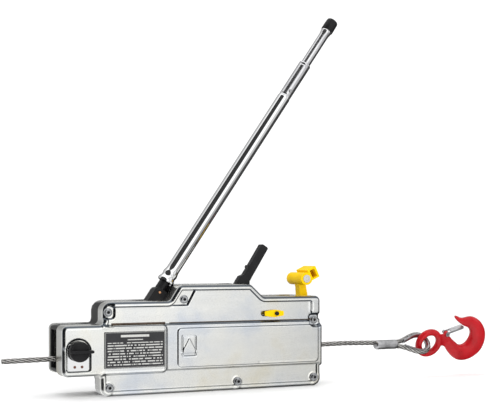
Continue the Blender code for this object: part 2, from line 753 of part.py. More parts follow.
def jaw_block(side, centre_x, link_side, body, drop_body):
    """A cage round the rope with an upper and a lower jaw, a leaf spring and its link's pin."""
    ends = (centre_x - JAW_HALF_LENGTH, centre_x + JAW_HALF_LENGTH)
    outer = CAGE_HALF_WIDTH
    inner = outer - CAGE_WALL
    cage = box(ends, (-outer, outer), (CAGE_BOTTOM, CAGE_TOP))
    room = (CAGE_BOTTOM + CAGE_WALL, CAGE_TOP - CAGE_WALL)
    cut(cage, box((ends[0] - 0.01, ends[1] + 0.01), (-inner, inner), room))
    pin_z = 0.076
    pin_y = (link_side * (LINK_OUTER_Y + 0.001), link_side * (inner + GAP))
    cut(cage, rod(0.0053, (centre_x, 0.0, pin_z), (centre_x, link_side * 0.03, pin_z), 12))
    keep(cage, f"jaw_cage_{side}", BARE_STEEL, body)
    pin = rod(0.005, (centre_x, pin_y[0], pin_z), (centre_x, pin_y[1], pin_z), 12)
    keep(pin, f"link_pin_{side}", BARE_STEEL, body)

    jaw_ends = (ends[0] + 0.004, ends[1] - 0.004)
    width = (-inner + GAP, inner - GAP)
    rope_z = on_rope(centre_x)[2]
    half_split = 0.0012
    heights = {
        "upper": (rope_z + half_split, room[1] - GAP),
        "lower": (0.0625, rope_z - half_split),
    }
    owners = {"upper": body, "lower": drop_body}
    for level, limits in heights.items():
        jaw = box(jaw_ends, width, limits)
        cut(jaw, rope_bore(ROPE_RADIUS + GAP, jaw_ends[0] - 0.01, jaw_ends[1] + 0.01))
        keep(jaw, f"{level}_jaw_{side}", BARE_STEEL, owners[level])
    leaf_z = room[0] + GAP
    leaf = box((ends[0] + 0.02, ends[1] - 0.02), (-0.008, 0.008), (leaf_z, leaf_z + 0.0008))
    keep(leaf, f"leaf_spring_{side}", SPRING, body, smooth=False)


# ---------------------------------------------------------------- handle
def along_handle(distance):
    at = leaning(FORWARD_LEAN, FORWARD_X)(0.0, BELL_START + distance)
    return Vector((at.x, 0.0, at.y))


def handle(outer_body, inner_body, button_body):
    """Outer tube with a bell mouth, collar, spring button, sliding inner tube and end cap."""
    place, lean = along_handle(0.0), (0.0, FORWARD_LEAN, 0.0)
    outer = [
        (0.0150, 0.518),
        (0.0150, 0.030),
        (0.0171, 0.022),
        (0.0160, 0.014),
        (0.0193, 0.006),
        (0.0190, 0.0),
        (0.0130, 0.0),
        (0.0130, 0.518),
    ]
    keep(turned(outer, place, lean, closed=True), "handle_outer_tube", CHROME, outer_body)

    collar_profile = [
        (0.01425, 0.616),
        (0.01425, 0.5183),
        (0.0127, 0.5183),
        (0.0127, 0.480),
        (0.0116, 0.480),
        (0.0116, 0.616),
    ]
    collar = turned(collar_profile, place, lean, closed=True)
    spot = along_handle(0.535)
    cut(collar, rod(0.0038, spot + Vector((0, -0.022, 0)), spot + Vector((0, -0.011, 0)), 12))
    keep(collar, "handle_collar", CHROME, outer_body)
    button = rod(0.0034, spot + Vector((0, -0.0168, 0)), spot + Vector((0, -0.0134, 0)), 12)
    keep(button, "handle_button", BARE_STEEL, button_body)

    inner = [
        (0.0130, 0.717),
        (0.01125, 0.706),
        (0.01125, 0.160),
        (0.0096, 0.160),
        (0.0096, 0.717),
    ]
    keep(turned(inner, place, lean, closed=True), "handle_inner_tube", CHROME, inner_body)
    cap = [
        (0.0, 0.748),
        (0.0120, 0.748),
        (0.0140, 0.744),
        (0.0145, 0.7173),
        (0.0, 0.7173),
    ]
    keep(turned(cap, place, lean), "handle_cap", BLACK_PLASTIC, inner_body)


# ---------------------------------------------------------------- anchor, release, indicator
def anchor(pin_body, knob_body):
    """The sling pin, and the knob that locks it."""
    x, z = ANCHOR_X, ANCHOR_Z
    pin = rod(ANCHOR_PIN_RADIUS, (x, -0.0665, z), (x, 0.064, z), 24)
    keep(pin, "anchor_pin", BARE_STEEL, pin_body)
    base = -0.0668
    front = base - 0.0155
    profile = [
        (0.0, 0.0155),
        (KNOB_RADIUS - 0.003, 0.0155),
        (KNOB_RADIUS, 0.0125),
        (KNOB_RADIUS, 0.0),
        (0.0, 0.0),
    ]
    knob = turned(profile, (x, base, z), (math.pi / 2, 0.0, 0.0), 24)
    join(knob, box((x - 0.0195, x + 0.0255), (front - 0.006, front + 0.005), (z - 0.0035, z + 0.0035)))
    keep(knob, "anchor_knob", BLACK_PLASTIC, knob_body)


def release_lever(body, button_body):
    """A curved stem on a shaft with a barrel across its top and a square sleeve beside it."""
    corners = [
        (0.2775, 0.1670, 0.007),
        (0.2915, 0.1660, 0.007),
        (0.2960, 0.1900, 0.010),
        (0.3010, 0.2070, 0.010),
        (0.2975, 0.2240, 0.010),
        (0.2950, 0.2430, 0.002),
        (0.2760, 0.2430, 0.002),
        (0.2800, 0.2240, 0.010),
        (0.2810, 0.2080, 0.010),
        (0.2755, 0.1920, 0.010),
    ]
    bore = circle(RELEASE_X, RELEASE_Z, 0.005 + GAP, 12)
    lever = as_mesh(plate([rounded(corners), bore], (-0.011, 0.011)))
    ends = (BARREL_X, -BARREL_HALF, BARREL_Z), (BARREL_X, BARREL_HALF, BARREL_Z)
    barrel = rod(BARREL_RADIUS, *ends, 20)
    sleeve = box((-0.0115, 0.0115), (-0.036, 0.021), (-0.0135, 0.0135))
    opening = box((-0.0065, 0.0065), (-0.05, 0.05), (-0.0095, 0.0095))
    for piece in (sleeve, opening):
        piece.location.x = SLEEVE_X
        piece.location.z = SLEEVE_Z
        piece.rotation_euler.y = SLEEVE_TILT
    join(lever, barrel, sleeve)
    cut(lever, opening)
    seat = (BARREL_X, -0.05, BARREL_Z), (BARREL_X, -BARREL_HALF + 0.008, BARREL_Z)
    cut(lever, rod(0.0093, *seat, 20))
    keep(lever, "release_lever", YELLOW, body)
    front = -BARREL_HALF - 0.002
    button = rod(0.009, (BARREL_X, front, BARREL_Z), (BARREL_X, front + 0.007, BARREL_Z), 20)
    keep(button, "release_button", GREY, button_body)

    turns, per_turn, coil = 4, 10, 0.0072
    points = []
    for k in range(turns * per_turn + 1):
        angle = 2 * math.pi * k / per_turn
        y = 0.0125 + 0.0022 * k / per_turn
        points.append((RELEASE_X + coil * math.cos(angle), y, RELEASE_Z + coil * math.sin(angle)))
    keep(tube(points, 0.0008, 0), "release_spring", SPRING)


def indicator(body):
    """The lozenge that shows whether the jaws are open, and its screw."""
    low, high = INDICATOR_X
    middle = (low + high) / 2
    z = INDICATOR_Z
    outline = [
        (low, z - 0.005, 0.0015),
        (middle - 0.011, z - 0.0072, 0.004),
        (middle, z - 0.0086, 0.004),
        (middle + 0.011, z - 0.0072, 0.004),
        (high, z - 0.005, 0.0015),
        (high, z + 0.005, 0.0015),
        (middle + 0.011, z + 0.0072, 0.004),
        (middle, z + 0.0086, 0.004),
        (middle - 0.011, z + 0.0072, 0.004),
        (low, z + 0.005, 0.0015),
    ]
    face = FACE_Y - GAP
    hole = circle(INDICATOR_SCREW_X, z, 0.0033, 12)
    lozenge = plate([rounded(outline, 0.0, 2), hole], (face - 0.003, face))
    keep(lozenge, "release_indicator", YELLOW, body)
    profile = [
        (0.0, 0.0035),
        (0.0048, 0.0035),
        (0.0048, 0.0),
        (0.0030, 0.0),
        (0.0030, -0.020),
        (0.0, -0.020),
    ]
    place = (INDICATOR_SCREW_X, face - 0.003 - GAP, z)
    screw = turned(profile, place, (math.pi / 2, 0.0, 0.0), 12)
    keep(screw, "indicator_screw", BLACK_STEEL, body)


# ---------------------------------------------------------------- rope and hook
def rope(body):
    """The rope in three stretches, its ferrule, and the eye round its thimble."""
    left, right = ANCHOR_LEFT - GAP, BAND_RIGHT + GAP
    at_ferrule = in_loop(FERRULE_X[0] - GAP, -LEG_OFFSET)
    stretches = (
        ("rope_tail", [on_rope(TAIL_END_X), on_rope(left)]),
        ("rope_core", [on_rope(left + GAP), on_rope(right - GAP)]),
        ("rope_lead", [on_rope(right), on_rope(LEAD_BEND_X), at_ferrule]),
    )
    for name, corners in stretches:
        points = [Vector(corners[0])]
        for corner in corners[1:]:
            start, end = points[-1], Vector(corner)
            count = max(3, round((end - start).length / (5 * ROPE_RADIUS)))
            points += [start.lerp(end, k / count) for k in range(1, count + 1)]
        keep(tube(points, ROPE_RADIUS, 3), name, ROPE_STEEL, body)

    length = FERRULE_X[1] - FERRULE_X[0]
    edge = FERRULE_RADIUS
    profile = [
        (0.0, length),
        (edge - 0.0025, length),
        (edge, length - 0.0025),
        (edge, 0.0025),
        (edge - 0.0025, 0.0),
        (0.0, 0.0),
    ]
    sleeve = turned(profile, (FERRULE_X[0], 0.0, FERRULE_Z), (0.0, math.pi / 2, 0.0), 20)
    keep(sleeve, "ferrule", BARE_STEEL, body)

    loop = eye_path()
    keep(tube([in_loop(x, s) for x, s in loop], ROPE_RADIUS, 2), "rope_eye", ROPE_STEEL, body)
    keep(thimble(loop), "thimble", BARE_STEEL, body)


def in_loop(x, s, n=0.0):
    """A point of the tilted loop's plane: s runs down towards the front, n is off the plane."""
    sine, cosine = math.sin(EYE_LOOP_TILT), math.cos(EYE_LOOP_TILT)
    return Vector((x, -s * sine + n * cosine, FERRULE_Z - s * cosine - n * sine))


def eye_path():
    """The rope's (x, s) points from the ferrule round the crown and back to it."""
    start_x = FERRULE_X[1] + GAP
    crown_x, crown_r = EYE_LOOP_CENTRE_X, EYE_LOOP_RADIUS
    # Each leg leaves the ferrule parallel to the rope and eases out to the crown's width.
    leg_steps, crown_steps = 7, 12
    leg = []
    for k in range(leg_steps):
        share = k / leg_steps
        ease = share * share * (3 - 2 * share)
        leg.append((start_x + (crown_x - start_x) * share, LEG_OFFSET + (crown_r - LEG_OFFSET) * ease))
    crown = []
    for k in range(crown_steps + 1):
        angle = math.pi / 2 - math.pi * k / crown_steps
        crown.append((crown_x + crown_r * math.cos(angle), crown_r * math.sin(angle)))
    return leg + crown + [(x, -s) for x, s in reversed(leg)]


def thimble(loop):
    """A grooved strip that lines the rope's eye."""
    seat = ROPE_RADIUS + GAP
    floor = seat + 0.0022
    lip, wall = 0.0012, 0.0017
    groove = [(-floor, -seat - wall), (-lip, -seat - wall), (-lip, -seat), (-seat, -seat)]
    section = groove + [(d, -n) for d, n in reversed(groove)]
    middle = loop[2:-2]
    sections = []
    for k, (x, s) in enumerate(middle):
        before = Vector(middle[max(k - 1, 0)])
        after = Vector(middle[min(k + 1, len(middle) - 1)])
        run = (after - before).normalized()
        outward = Vector((-run.y, run.x))
        sections.append([in_loop(x + d * outward.x, s + d * outward.y, n) for d, n in section])
    return loft(sections)


def rib_section(edges, thickness, sides=12):
    """An oval across the hook's bar, from its outer edge to its inner edge."""
    outer, inner = Vector((edges[0], 0.0, edges[1])), Vector((edges[2], 0.0, edges[3]))
    middle, reach = (outer + inner) / 2, (outer - inner) / 2
    across = Vector((0.0, thickness, 0.0))
    angles = [2 * math.pi * k / sides for k in range(sides)]
    return [middle + reach * math.cos(angle) + across * math.sin(angle) for angle in angles]


def hook(body, latch_body):
    """Eye, shank and bowl in one forging, with a sprung latch across the mouth."""
    forging = loft([rib_section(edges, thickness) for edges, thickness in HOOK_RIBS])
    bpy.ops.mesh.primitive_torus_add(
        major_radius=HOOK_EYE_RADIUS,
        minor_radius=HOOK_EYE_BAR,
        major_segments=24,
        minor_segments=10,
        rotation=(math.pi / 2, 0.0, 0.0),
    )
    ring = bpy.context.object
    px, pz = LATCH_PIVOT
    lug = rod(0.0065, (px, -0.0045, pz), (px, 0.0045, pz), 14)
    web = box((px - 0.010, px + 0.006), (-0.0045, 0.0045), (pz - 0.016, pz - 0.002))
    for piece in (ring, lug, web):
        piece.parent = body
    join(forging, ring, lug, web)
    bore = rod(0.0028, (px, -0.02, pz), (px, 0.02, pz), 10)
    bore.parent = body
    cut(forging, bore)
    keep(forging, "hook", RED)
    forging.parent = body

    keep(latch_plate(latch_body), "hook_latch", BARE_STEEL)
    pin = rod(0.0025, (0.0, -0.0095, 0.0), (0.0, 0.0095, 0.0), 10)
    keep(pin, "latch_pin", BARE_STEEL)
    pin.parent = latch_body
    points = []
    for k in range(25):
        angle = 2 * math.pi * k / 8
        points.append((0.0042 * math.cos(angle), 0.0102 + 0.0012 * k / 8, 0.0042 * math.sin(angle)))
    spring = tube(points, 0.0005, 0)
    keep(spring, "latch_spring", SPRING)
    spring.parent = latch_body


def latch_plate(body):
    """A folded strip with an eyed cheek on each side of the hook's lug."""
    half, gauge = 0.0078, 0.0018
    top = 0.0066
    web = box((0.0105, LATCH_LENGTH), (-half, half), (top - gauge, top))
    web.parent = body
    for side in (-1, 1):
        cheek_y = sorted((side * half, side * (half - gauge)))
        cheek = box((-0.0030, LATCH_LENGTH - 0.001), cheek_y, (0.0015, top - gauge * 0.1))
        eye = rod(0.0055, (0.0, cheek_y[0], 0.0), (0.0, cheek_y[1], 0.0), 14)
        for piece in (cheek, eye):
            piece.parent = body
        join(web, cheek, eye)
    bore = rod(0.0028, (0.0, -0.02, 0.0), (0.0, 0.02, 0.0), 10)
    bore.parent = body
    cut(web, bore)
    return web


# ---------------------------------------------------------------- assembly
front_shell()
rear_shell()
inner_frame()
bolts()
trim()
side_plates()
shafts()
rope_guides()

forward_axis = axis_empty("forward_lever_axis", (FORWARD_X, 0.0, PIVOT_Z))
reverse_axis = axis_empty("reverse_lever_axis", (REVERSE_X, 0.0, PIVOT_Z))
right_jaw_axis = axis_empty("right_jaw_axis", (RIGHT_JAW_X, 0.0, ROPE_Z))
left_jaw_axis = axis_empty("left_jaw_axis", (LEFT_JAW_X, 0.0, ROPE_Z))
right_drop_axis = axis_empty("right_jaw_drop_axis", (RIGHT_JAW_X, 0.0, ROPE_Z))
left_drop_axis = axis_empty("left_jaw_drop_axis", (LEFT_JAW_X, 0.0, ROPE_Z))
handle_axis = axis_empty("handle_axis", along_handle(0.0))
extension_axis = axis_empty("handle_extension_axis", along_handle(0.616))
handle_button_axis = axis_empty("handle_button_axis", along_handle(0.535))
anchor_axis = axis_empty("anchor_pin_axis", (ANCHOR_X, 0.0, ANCHOR_Z))
knob_axis = axis_empty("anchor_knob_axis", (ANCHOR_X, -0.0668, ANCHOR_Z))
release_axis = axis_empty("release_lever_axis", (RELEASE_X, 0.0, RELEASE_Z))
release_button_axis = axis_empty("release_button_axis", (BARREL_X, -BARREL_HALF, BARREL_Z))
indicator_axis = axis_empty("indicator_axis", (INDICATOR_SCREW_X, FACE_Y, INDICATOR_Z))
rope_axis = axis_empty("rope_axis", (0.0, 0.0, ROPE_Z))
hook_axis = axis_empty("hook_axis", (HOOK_EYE_X, 0.0, HOOK_EYE_Z), (HOOK_TILT, 0.0, 0.0))
latch_axis = axis_empty("latch_axis", (LATCH_PIVOT[0], 0.0, LATCH_PIVOT[1]), (0.0, -LATCH_ANGLE, 0.0))
latch_axis.parent = hook_axis

forward_lever(forward_axis)
reverse_lever(reverse_axis)
links(right_jaw_axis, left_jaw_axis)
jaw_block("right", RIGHT_JAW_X, -1, right_jaw_axis, right_drop_axis)
jaw_block("left", LEFT_JAW_X, 1, left_jaw_axis, left_drop_axis)
handle(handle_axis, extension_axis, handle_button_axis)
anchor(anchor_axis, knob_axis)
release_lever(release_axis, release_button_axis)
indicator(indicator_axis)
rope(rope_axis)
hook(hook_axis, latch_axis)
bpy.context.view_layer.update()
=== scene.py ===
import json
import math

import bmesh
import bpy
from mathutils import Matrix, Vector
from mathutils.geometry import delaunay_2d_cdt

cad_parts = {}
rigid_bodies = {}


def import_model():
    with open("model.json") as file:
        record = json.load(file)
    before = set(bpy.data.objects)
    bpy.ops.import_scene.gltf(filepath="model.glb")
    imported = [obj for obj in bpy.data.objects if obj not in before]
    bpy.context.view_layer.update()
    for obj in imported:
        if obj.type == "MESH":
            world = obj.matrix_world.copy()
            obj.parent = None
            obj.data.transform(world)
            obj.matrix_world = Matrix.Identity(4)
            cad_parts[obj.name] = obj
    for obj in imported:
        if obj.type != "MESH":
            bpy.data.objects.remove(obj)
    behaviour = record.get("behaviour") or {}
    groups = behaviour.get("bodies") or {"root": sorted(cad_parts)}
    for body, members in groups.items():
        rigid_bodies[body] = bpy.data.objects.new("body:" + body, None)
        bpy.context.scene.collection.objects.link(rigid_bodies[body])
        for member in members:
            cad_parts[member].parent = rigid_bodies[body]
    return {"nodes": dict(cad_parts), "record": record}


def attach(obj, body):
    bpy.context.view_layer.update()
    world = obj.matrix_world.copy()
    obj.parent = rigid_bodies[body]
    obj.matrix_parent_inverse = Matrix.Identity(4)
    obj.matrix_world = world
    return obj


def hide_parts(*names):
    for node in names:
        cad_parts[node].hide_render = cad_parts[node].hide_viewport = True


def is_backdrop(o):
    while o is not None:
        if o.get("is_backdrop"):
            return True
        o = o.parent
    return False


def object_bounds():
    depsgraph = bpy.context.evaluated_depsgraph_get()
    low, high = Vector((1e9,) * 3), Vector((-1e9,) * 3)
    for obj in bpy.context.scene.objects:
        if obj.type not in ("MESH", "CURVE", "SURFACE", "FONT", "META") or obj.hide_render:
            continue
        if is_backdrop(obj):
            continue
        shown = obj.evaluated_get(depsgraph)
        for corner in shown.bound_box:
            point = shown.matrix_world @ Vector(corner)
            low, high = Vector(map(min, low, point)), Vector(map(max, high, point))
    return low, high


for old in list(bpy.data.objects):
    bpy.data.objects.remove(old, do_unlink=True)
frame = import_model()
CAD_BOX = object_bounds()

# ---------------------------------------------------------------- sizes, in metres
FACE_Y, BAND_Y, ANCHOR_Y = -0.061, -0.065, -0.068
SHELL_BACK = -0.0173
RIM, SHEET, LIP = 0.009, 0.0026, 0.012
OUTLINE_STEP, GRID_STEP = 0.0025, 0.0013
ROLL_STEPS, CREASE_STEPS, CREASE_STEP = 8, 7, 0.0006
REAR_FRONT, REAR_Y = 0.047, 0.065
BOLTS = [
    (-0.197, 0.178), (-0.025, 0.203), (-0.196, 0.019),
    (0.100, 0.019), (0.291, 0.020), (0.294, 0.151),
]
POCKETED = (0, 1, 5)
POCKET_Y = -0.054
KNOB = (-0.2635, 0.0985)
RECESS_RADIUS = 0.0257
RECESS_Y = -0.062
ROPE_Z, ROPE_SLOPE, ROPE_RADIUS = 0.0835, 0.0145, 0.00575
TAIL_X, LEFT_X, RIGHT_X, LEAD_BEND_X = -0.409, -0.2983, 0.3133, 0.408
FERRULE_X, FERRULE_Z, FERRULE_RADIUS = (0.491, 0.552), 0.0822, 0.01125
LOOP_X, LOOP_RADIUS, LOOP_TILT, LEG = 0.618, 0.02525, math.radians(34.0), 0.0061
LEAN = math.radians(34.5)
FORWARD = Vector((-0.1246, 0.0, 0.130))
BELL = 0.1335
BARREL = (0.285, 0.245, 0.038)
INDICATOR = (0.1945, 0.168)
HOOK_EYE, HOOK_TILT = Vector((0.6460, 0.0, 0.082)), math.radians(22.0)
HOOK_RING, HOOK_BAR = 0.029, 0.0083
LATCH_PIVOT, LUG_RADIUS, LUG_HALF = (0.0465, 0.0242), 0.0065, 0.0045
# Each rib is its outer x and z, its inner x and z, and half its thickness along Y.
HOOK_RIBS = [
    ((0.0260, -0.0130, 0.0260, 0.0225), 0.0060),
    ((0.0400, -0.0090, 0.0420, 0.0235), 0.0056),
    ((0.0500, -0.0130, 0.0570, 0.0175), 0.0058),
    ((0.0573, -0.0210, 0.0640, 0.0110), 0.0080),
    ((0.0687, -0.0324, 0.0723, 0.0048), 0.0105),
    ((0.0814, -0.0423, 0.0816, -0.0017), 0.0125),
    ((0.0949, -0.0488, 0.0895, -0.0072), 0.0132),
    ((0.1093, -0.0512, 0.0985, -0.0088), 0.0136),
    ((0.1230, -0.0496, 0.1050, -0.0078), 0.0138),
    ((0.1366, -0.0442, 0.1095, -0.0055), 0.0140),
    ((0.1505, -0.0342, 0.1135, -0.0015), 0.0140),
    ((0.1608, -0.0204, 0.1168, 0.0045), 0.0140),
    ((0.1650, -0.0050, 0.1188, 0.0110), 0.0138),
    ((0.1652, 0.0095, 0.1195, 0.0160), 0.0135),
    ((0.1625, 0.0236, 0.1192, 0.0210), 0.0130),
    ((0.1559, 0.0378, 0.1177, 0.0262), 0.0124),
    ((0.1442, 0.0521, 0.1142, 0.0323), 0.0116),
    ((0.1291, 0.0633, 0.1095, 0.0373), 0.0106),
    ((0.1121, 0.0695, 0.1040, 0.0410), 0.0096),
    ((0.0989, 0.0690, 0.0948, 0.0438), 0.0086),
    ((0.0879, 0.0665, 0.0850, 0.0485), 0.0076),
    ((0.0776, 0.0672, 0.0725, 0.0565), 0.0062),
    ((0.0680, 0.0712, 0.0640, 0.0632), 0.0048),
    ((0.0600, 0.0735, 0.0588, 0.0684), 0.0030),
]


# ---------------------------------------------------------------- camera, light, floor
def add(name, data):
    made = bpy.data.objects.new(name, data)
    bpy.context.scene.collection.objects.link(made)
    return made


def set_camera():
    data = bpy.data.cameras.new("camera")
    data.sensor_width = 36.0
    data.lens = 77.1
    data.shift_y = 0.099
    camera = add("camera", data)
    camera.location = (-0.862, -2.238, 0.293)
    camera.rotation_euler = (math.pi / 2, 0.0, -math.atan2(0.4147, 0.910))
    bpy.context.scene.camera = camera


def area_light(name, place, target, size, power):
    data = bpy.data.lights.new(name, "AREA")
    data.shape = "RECTANGLE"
    data.size, data.size_y = size
    data.energy = power
    light = add(name, data)
    light.location = place
    light.visible_glossy = False
    aim = Vector(target) - Vector(place)
    light.rotation_euler = aim.to_track_quat("-Z", "Y").to_euler()


def set_world():
    """A white studio. Only glossy rays see its dark areas, which give polished metal its stripes."""
    world = bpy.data.worlds.new("studio")
    bpy.context.scene.world = world
    world.use_nodes = True
    tree = world.node_tree
    tree.nodes.clear()
    link = tree.links.new
    place = tree.nodes.new("ShaderNodeTexCoord").outputs["Generated"]
    # Each row is a direction and how bright the studio is by its cosine to that direction.
    rows = (
        ((0.0, 0.0, 1.0), [
            (-1.0, 0.80), (-0.42, 0.90), (-0.20, 0.50), (-0.12, 0.64), (-0.02, 0.92), (0.22, 1.0),
        ]),
        ((-0.787, -0.531, 0.313), [(0.64, 1.0), (0.72, 0.03)]),
        ((0.855, 0.252, -0.453), [(0.56, 1.0), (0.76, 0.10)]),
        ((0.4147, 0.910, 0.0), [(0.50, 1.0), (0.88, 0.36)]),
        ((-0.461, 0.757, 0.461), [(0.74, 1.0), (0.92, 0.40)]),
        ((1.0, 0.0, 0.0), [(0.20, 1.0), (0.40, 0.88), (0.50, 0.44), (0.80, 0.72)]),
    )
    seen = None
    for direction, stops in rows:
        dot = tree.nodes.new("ShaderNodeVectorMath")
        dot.operation = "DOT_PRODUCT"
        dot.inputs[1].default_value = direction
        link(place, dot.inputs[0])
        half = tree.nodes.new("ShaderNodeMath")
        half.operation = "MULTIPLY_ADD"
        half.inputs[1].default_value = 0.5
        half.inputs[2].default_value = 0.5
        link(dot.outputs["Value"], half.inputs[0])
        shade = tree.nodes.new("ShaderNodeValToRGB")
        fill_ramp(shade, [((cosine + 1) / 2, (grey, grey, grey)) for cosine, grey in stops])
        link(half.outputs[0], shade.inputs[0])
        if seen is None:
            seen = shade.outputs[0]
            continue
        both = tree.nodes.new("ShaderNodeMix")
        both.data_type = "RGBA"
        both.blend_type = "MULTIPLY"
        both.inputs[0].default_value = 1.0
        link(seen, both.inputs[6])
        link(shade.outputs[0], both.inputs[7])
        seen = both.outputs[2]
    mix = tree.nodes.new("ShaderNodeMix")
    mix.data_type = "RGBA"
    mix.inputs[6].default_value = (0.76, 0.76, 0.76, 1.0)
    link(tree.nodes.new("ShaderNodeLightPath").outputs["Is Glossy Ray"], mix.inputs[0])
    link(seen, mix.inputs[7])
    back = tree.nodes.new("ShaderNodeBackground")
    back.inputs["Strength"].default_value = 1.5
    link(mix.outputs[2], back.inputs[0])
    link(back.outputs[0], tree.nodes.new("ShaderNodeOutputWorld").inputs[0])


def fill_ramp(ramp, stops):
    line = ramp.color_ramp
    while len(line.elements) < len(stops):
        line.elements.new(1.0)
    for element, (place, colour) in zip(line.elements, stops):
        element.position = place
        element.color = (*colour, 1.0)


set_camera()
set_world()
bpy.context.scene.view_settings.view_transform = "Standard"
area_light("key", (-1.3, -2.0, 2.2), (0.1, 0.0, 0.15), (1.4, 1.4), 16)
area_light("fill", (2.2, -1.6, 1.2), (0.1, 0.0, 0.15), (1.2, 1.8), 10)
area_light("top", (0.2, 0.6, 2.6), (0.1, 0.0, 0.1), (2.4, 1.2), 12)


# ---------------------------------------------------------------- materials
class Nodes:
    """A material's nodes, made one call at a time."""

    def __init__(self, name):
        self.material = bpy.data.materials.new(name)
        self.material.use_nodes = True
        self.tree = self.material.node_tree
        self.shader = self.tree.nodes["Principled BSDF"]
        self.place = self.new("ShaderNodeTexCoord").outputs["Object"]

    def new(self, kind):
        return self.tree.nodes.new(kind)

    def link(self, source, target):
        self.tree.links.new(source, target)

    def noise(self, scale, detail=3.0, stretch=(1.0, 1.0, 1.0)):
        spread = self.new("ShaderNodeMapping")
        spread.inputs["Scale"].default_value = stretch
        texture = self.new("ShaderNodeTexNoise")
        texture.inputs["Scale"].default_value = scale
        texture.inputs["Detail"].default_value = detail
        self.link(self.place, spread.inputs["Vector"])
        self.link(spread.outputs[0], texture.inputs["Vector"])
        return texture.outputs["Fac"]

    def ramp(self, value, stops):
        made = self.new("ShaderNodeValToRGB")
        fill_ramp(made, stops)
        self.link(value, made.inputs[0])
        return made.outputs[0]

    def math(self, operation, first, second=0.0):
        made = self.new("ShaderNodeMath")
        made.operation = operation
        for socket, value in zip(made.inputs, (first, second)):
            if isinstance(value, (int, float)):
                socket.default_value = value
            else:
                self.link(value, socket)
        return made.outputs[0]

    def mix(self, share, first, second):
        made = self.new("ShaderNodeMix")
        made.data_type = "RGBA"
        self.link(share, made.inputs[0])
        for socket, value in ((made.inputs[6], first), (made.inputs[7], second)):
            if isinstance(value, tuple):
                socket.default_value = (*value, 1.0)
            else:
                self.link(value, socket)
        return made.outputs[2]

    def bump(self, height, distance, strength=1.0):
        made = self.new("ShaderNodeBump")
        made.inputs["Distance"].default_value = distance
        made.inputs["Strength"].default_value = strength
        self.link(height, made.inputs["Height"])
        self.link(made.outputs[0], self.shader.inputs["Normal"])

    def set(self, **values):
        for name, value in values.items():
            self.shader.inputs[name.replace("_", " ")].default_value = value


def finish(name, dark, light, scale, rough, bump, metallic=0.0, stretch=(1.0, 1.0, 1.0), **extra):
    """Two tones in soft patches, roughness between two limits, and a fine bump (scale, depth)."""
    made = Nodes(name)
    patches = made.noise(scale, 4.0, stretch)
    made.link(made.ramp(patches, [(0.30, dark), (0.70, light)]), made.shader.inputs["Base Color"])
    low, high = rough
    wear = made.noise(scale * 3.7, 5.0, stretch)
    spread = made.math("ADD", made.math("MULTIPLY", wear, high - low), low)
    made.link(spread, made.shader.inputs["Roughness"])
    made.bump(made.noise(bump[0], 4.0, stretch), bump[1])
    made.set(Metallic=metallic, **extra)
    return made.material


def zinc_finish():
    """Bright zinc plate: cloudy, with faint yellow and blue tints and fine rolling lines; painted dark
    reflection and shade on its sloped faces, less of it towards the bottom.
    """
    made = Nodes("zinc_plate")
    clouds = made.noise(9.0, 5.0)
    tints = made.ramp(clouds, [
        (0.30, (0.66, 0.70, 0.76)),
        (0.45, (0.80, 0.81, 0.80)),
        (0.58, (0.84, 0.84, 0.80)),
        (0.72, (0.80, 0.77, 0.66)),
    ])
    specks = made.ramp(made.noise(420.0, 2.0), [(0.30, (0.86, 0.86, 0.86)), (0.55, (1.0, 1.0, 1.0))])
    blend = made.new("ShaderNodeMix")
    blend.data_type = "RGBA"
    blend.blend_type = "MULTIPLY"
    blend.inputs[0].default_value = 0.6
    made.link(tints, blend.inputs[6])
    made.link(specks, blend.inputs[7])
    # Painted dark reflection and shade: faces sloping away from the front, found by their object-space
    # normal, are mixed towards dark blue-grey; the height ramp gives less of it towards the bottom.
    facing = made.new("ShaderNodeSeparateXYZ")
    made.link(made.new("ShaderNodeTexCoord").outputs["Normal"], facing.inputs[0])
    outward = made.math("ABSOLUTE", facing.outputs[1])
    painted_slope_reflection = made.ramp(outward, [
        (0.30, (0.0, 0.0, 0.0)),
        (0.52, (1.0, 1.0, 1.0)),
        (0.86, (1.0, 1.0, 1.0)),
        (0.965, (0.0, 0.0, 0.0)),
    ])
    height = made.new("ShaderNodeSeparateXYZ")
    made.link(made.place, height.inputs[0])
    share = made.ramp(height.outputs[2], [(0.03, (0.45, 0.45, 0.45)), (0.12, (0.93, 0.93, 0.93))])
    dark = made.math("MULTIPLY", painted_slope_reflection, share)
    made.link(made.mix(dark, blend.outputs[2], (0.045, 0.060, 0.080)), made.shader.inputs["Base Color"])
    streaks = made.noise(60.0, 4.0, (0.12, 1.0, 1.0))
    made.link(made.math("ADD", made.math("MULTIPLY", streaks, 0.16), 0.16), made.shader.inputs["Roughness"])
    made.bump(made.noise(36.0, 3.0, (0.25, 1.0, 1.0)), 0.0005, 0.35)
    made.set(Metallic=1.0)
    return made.material


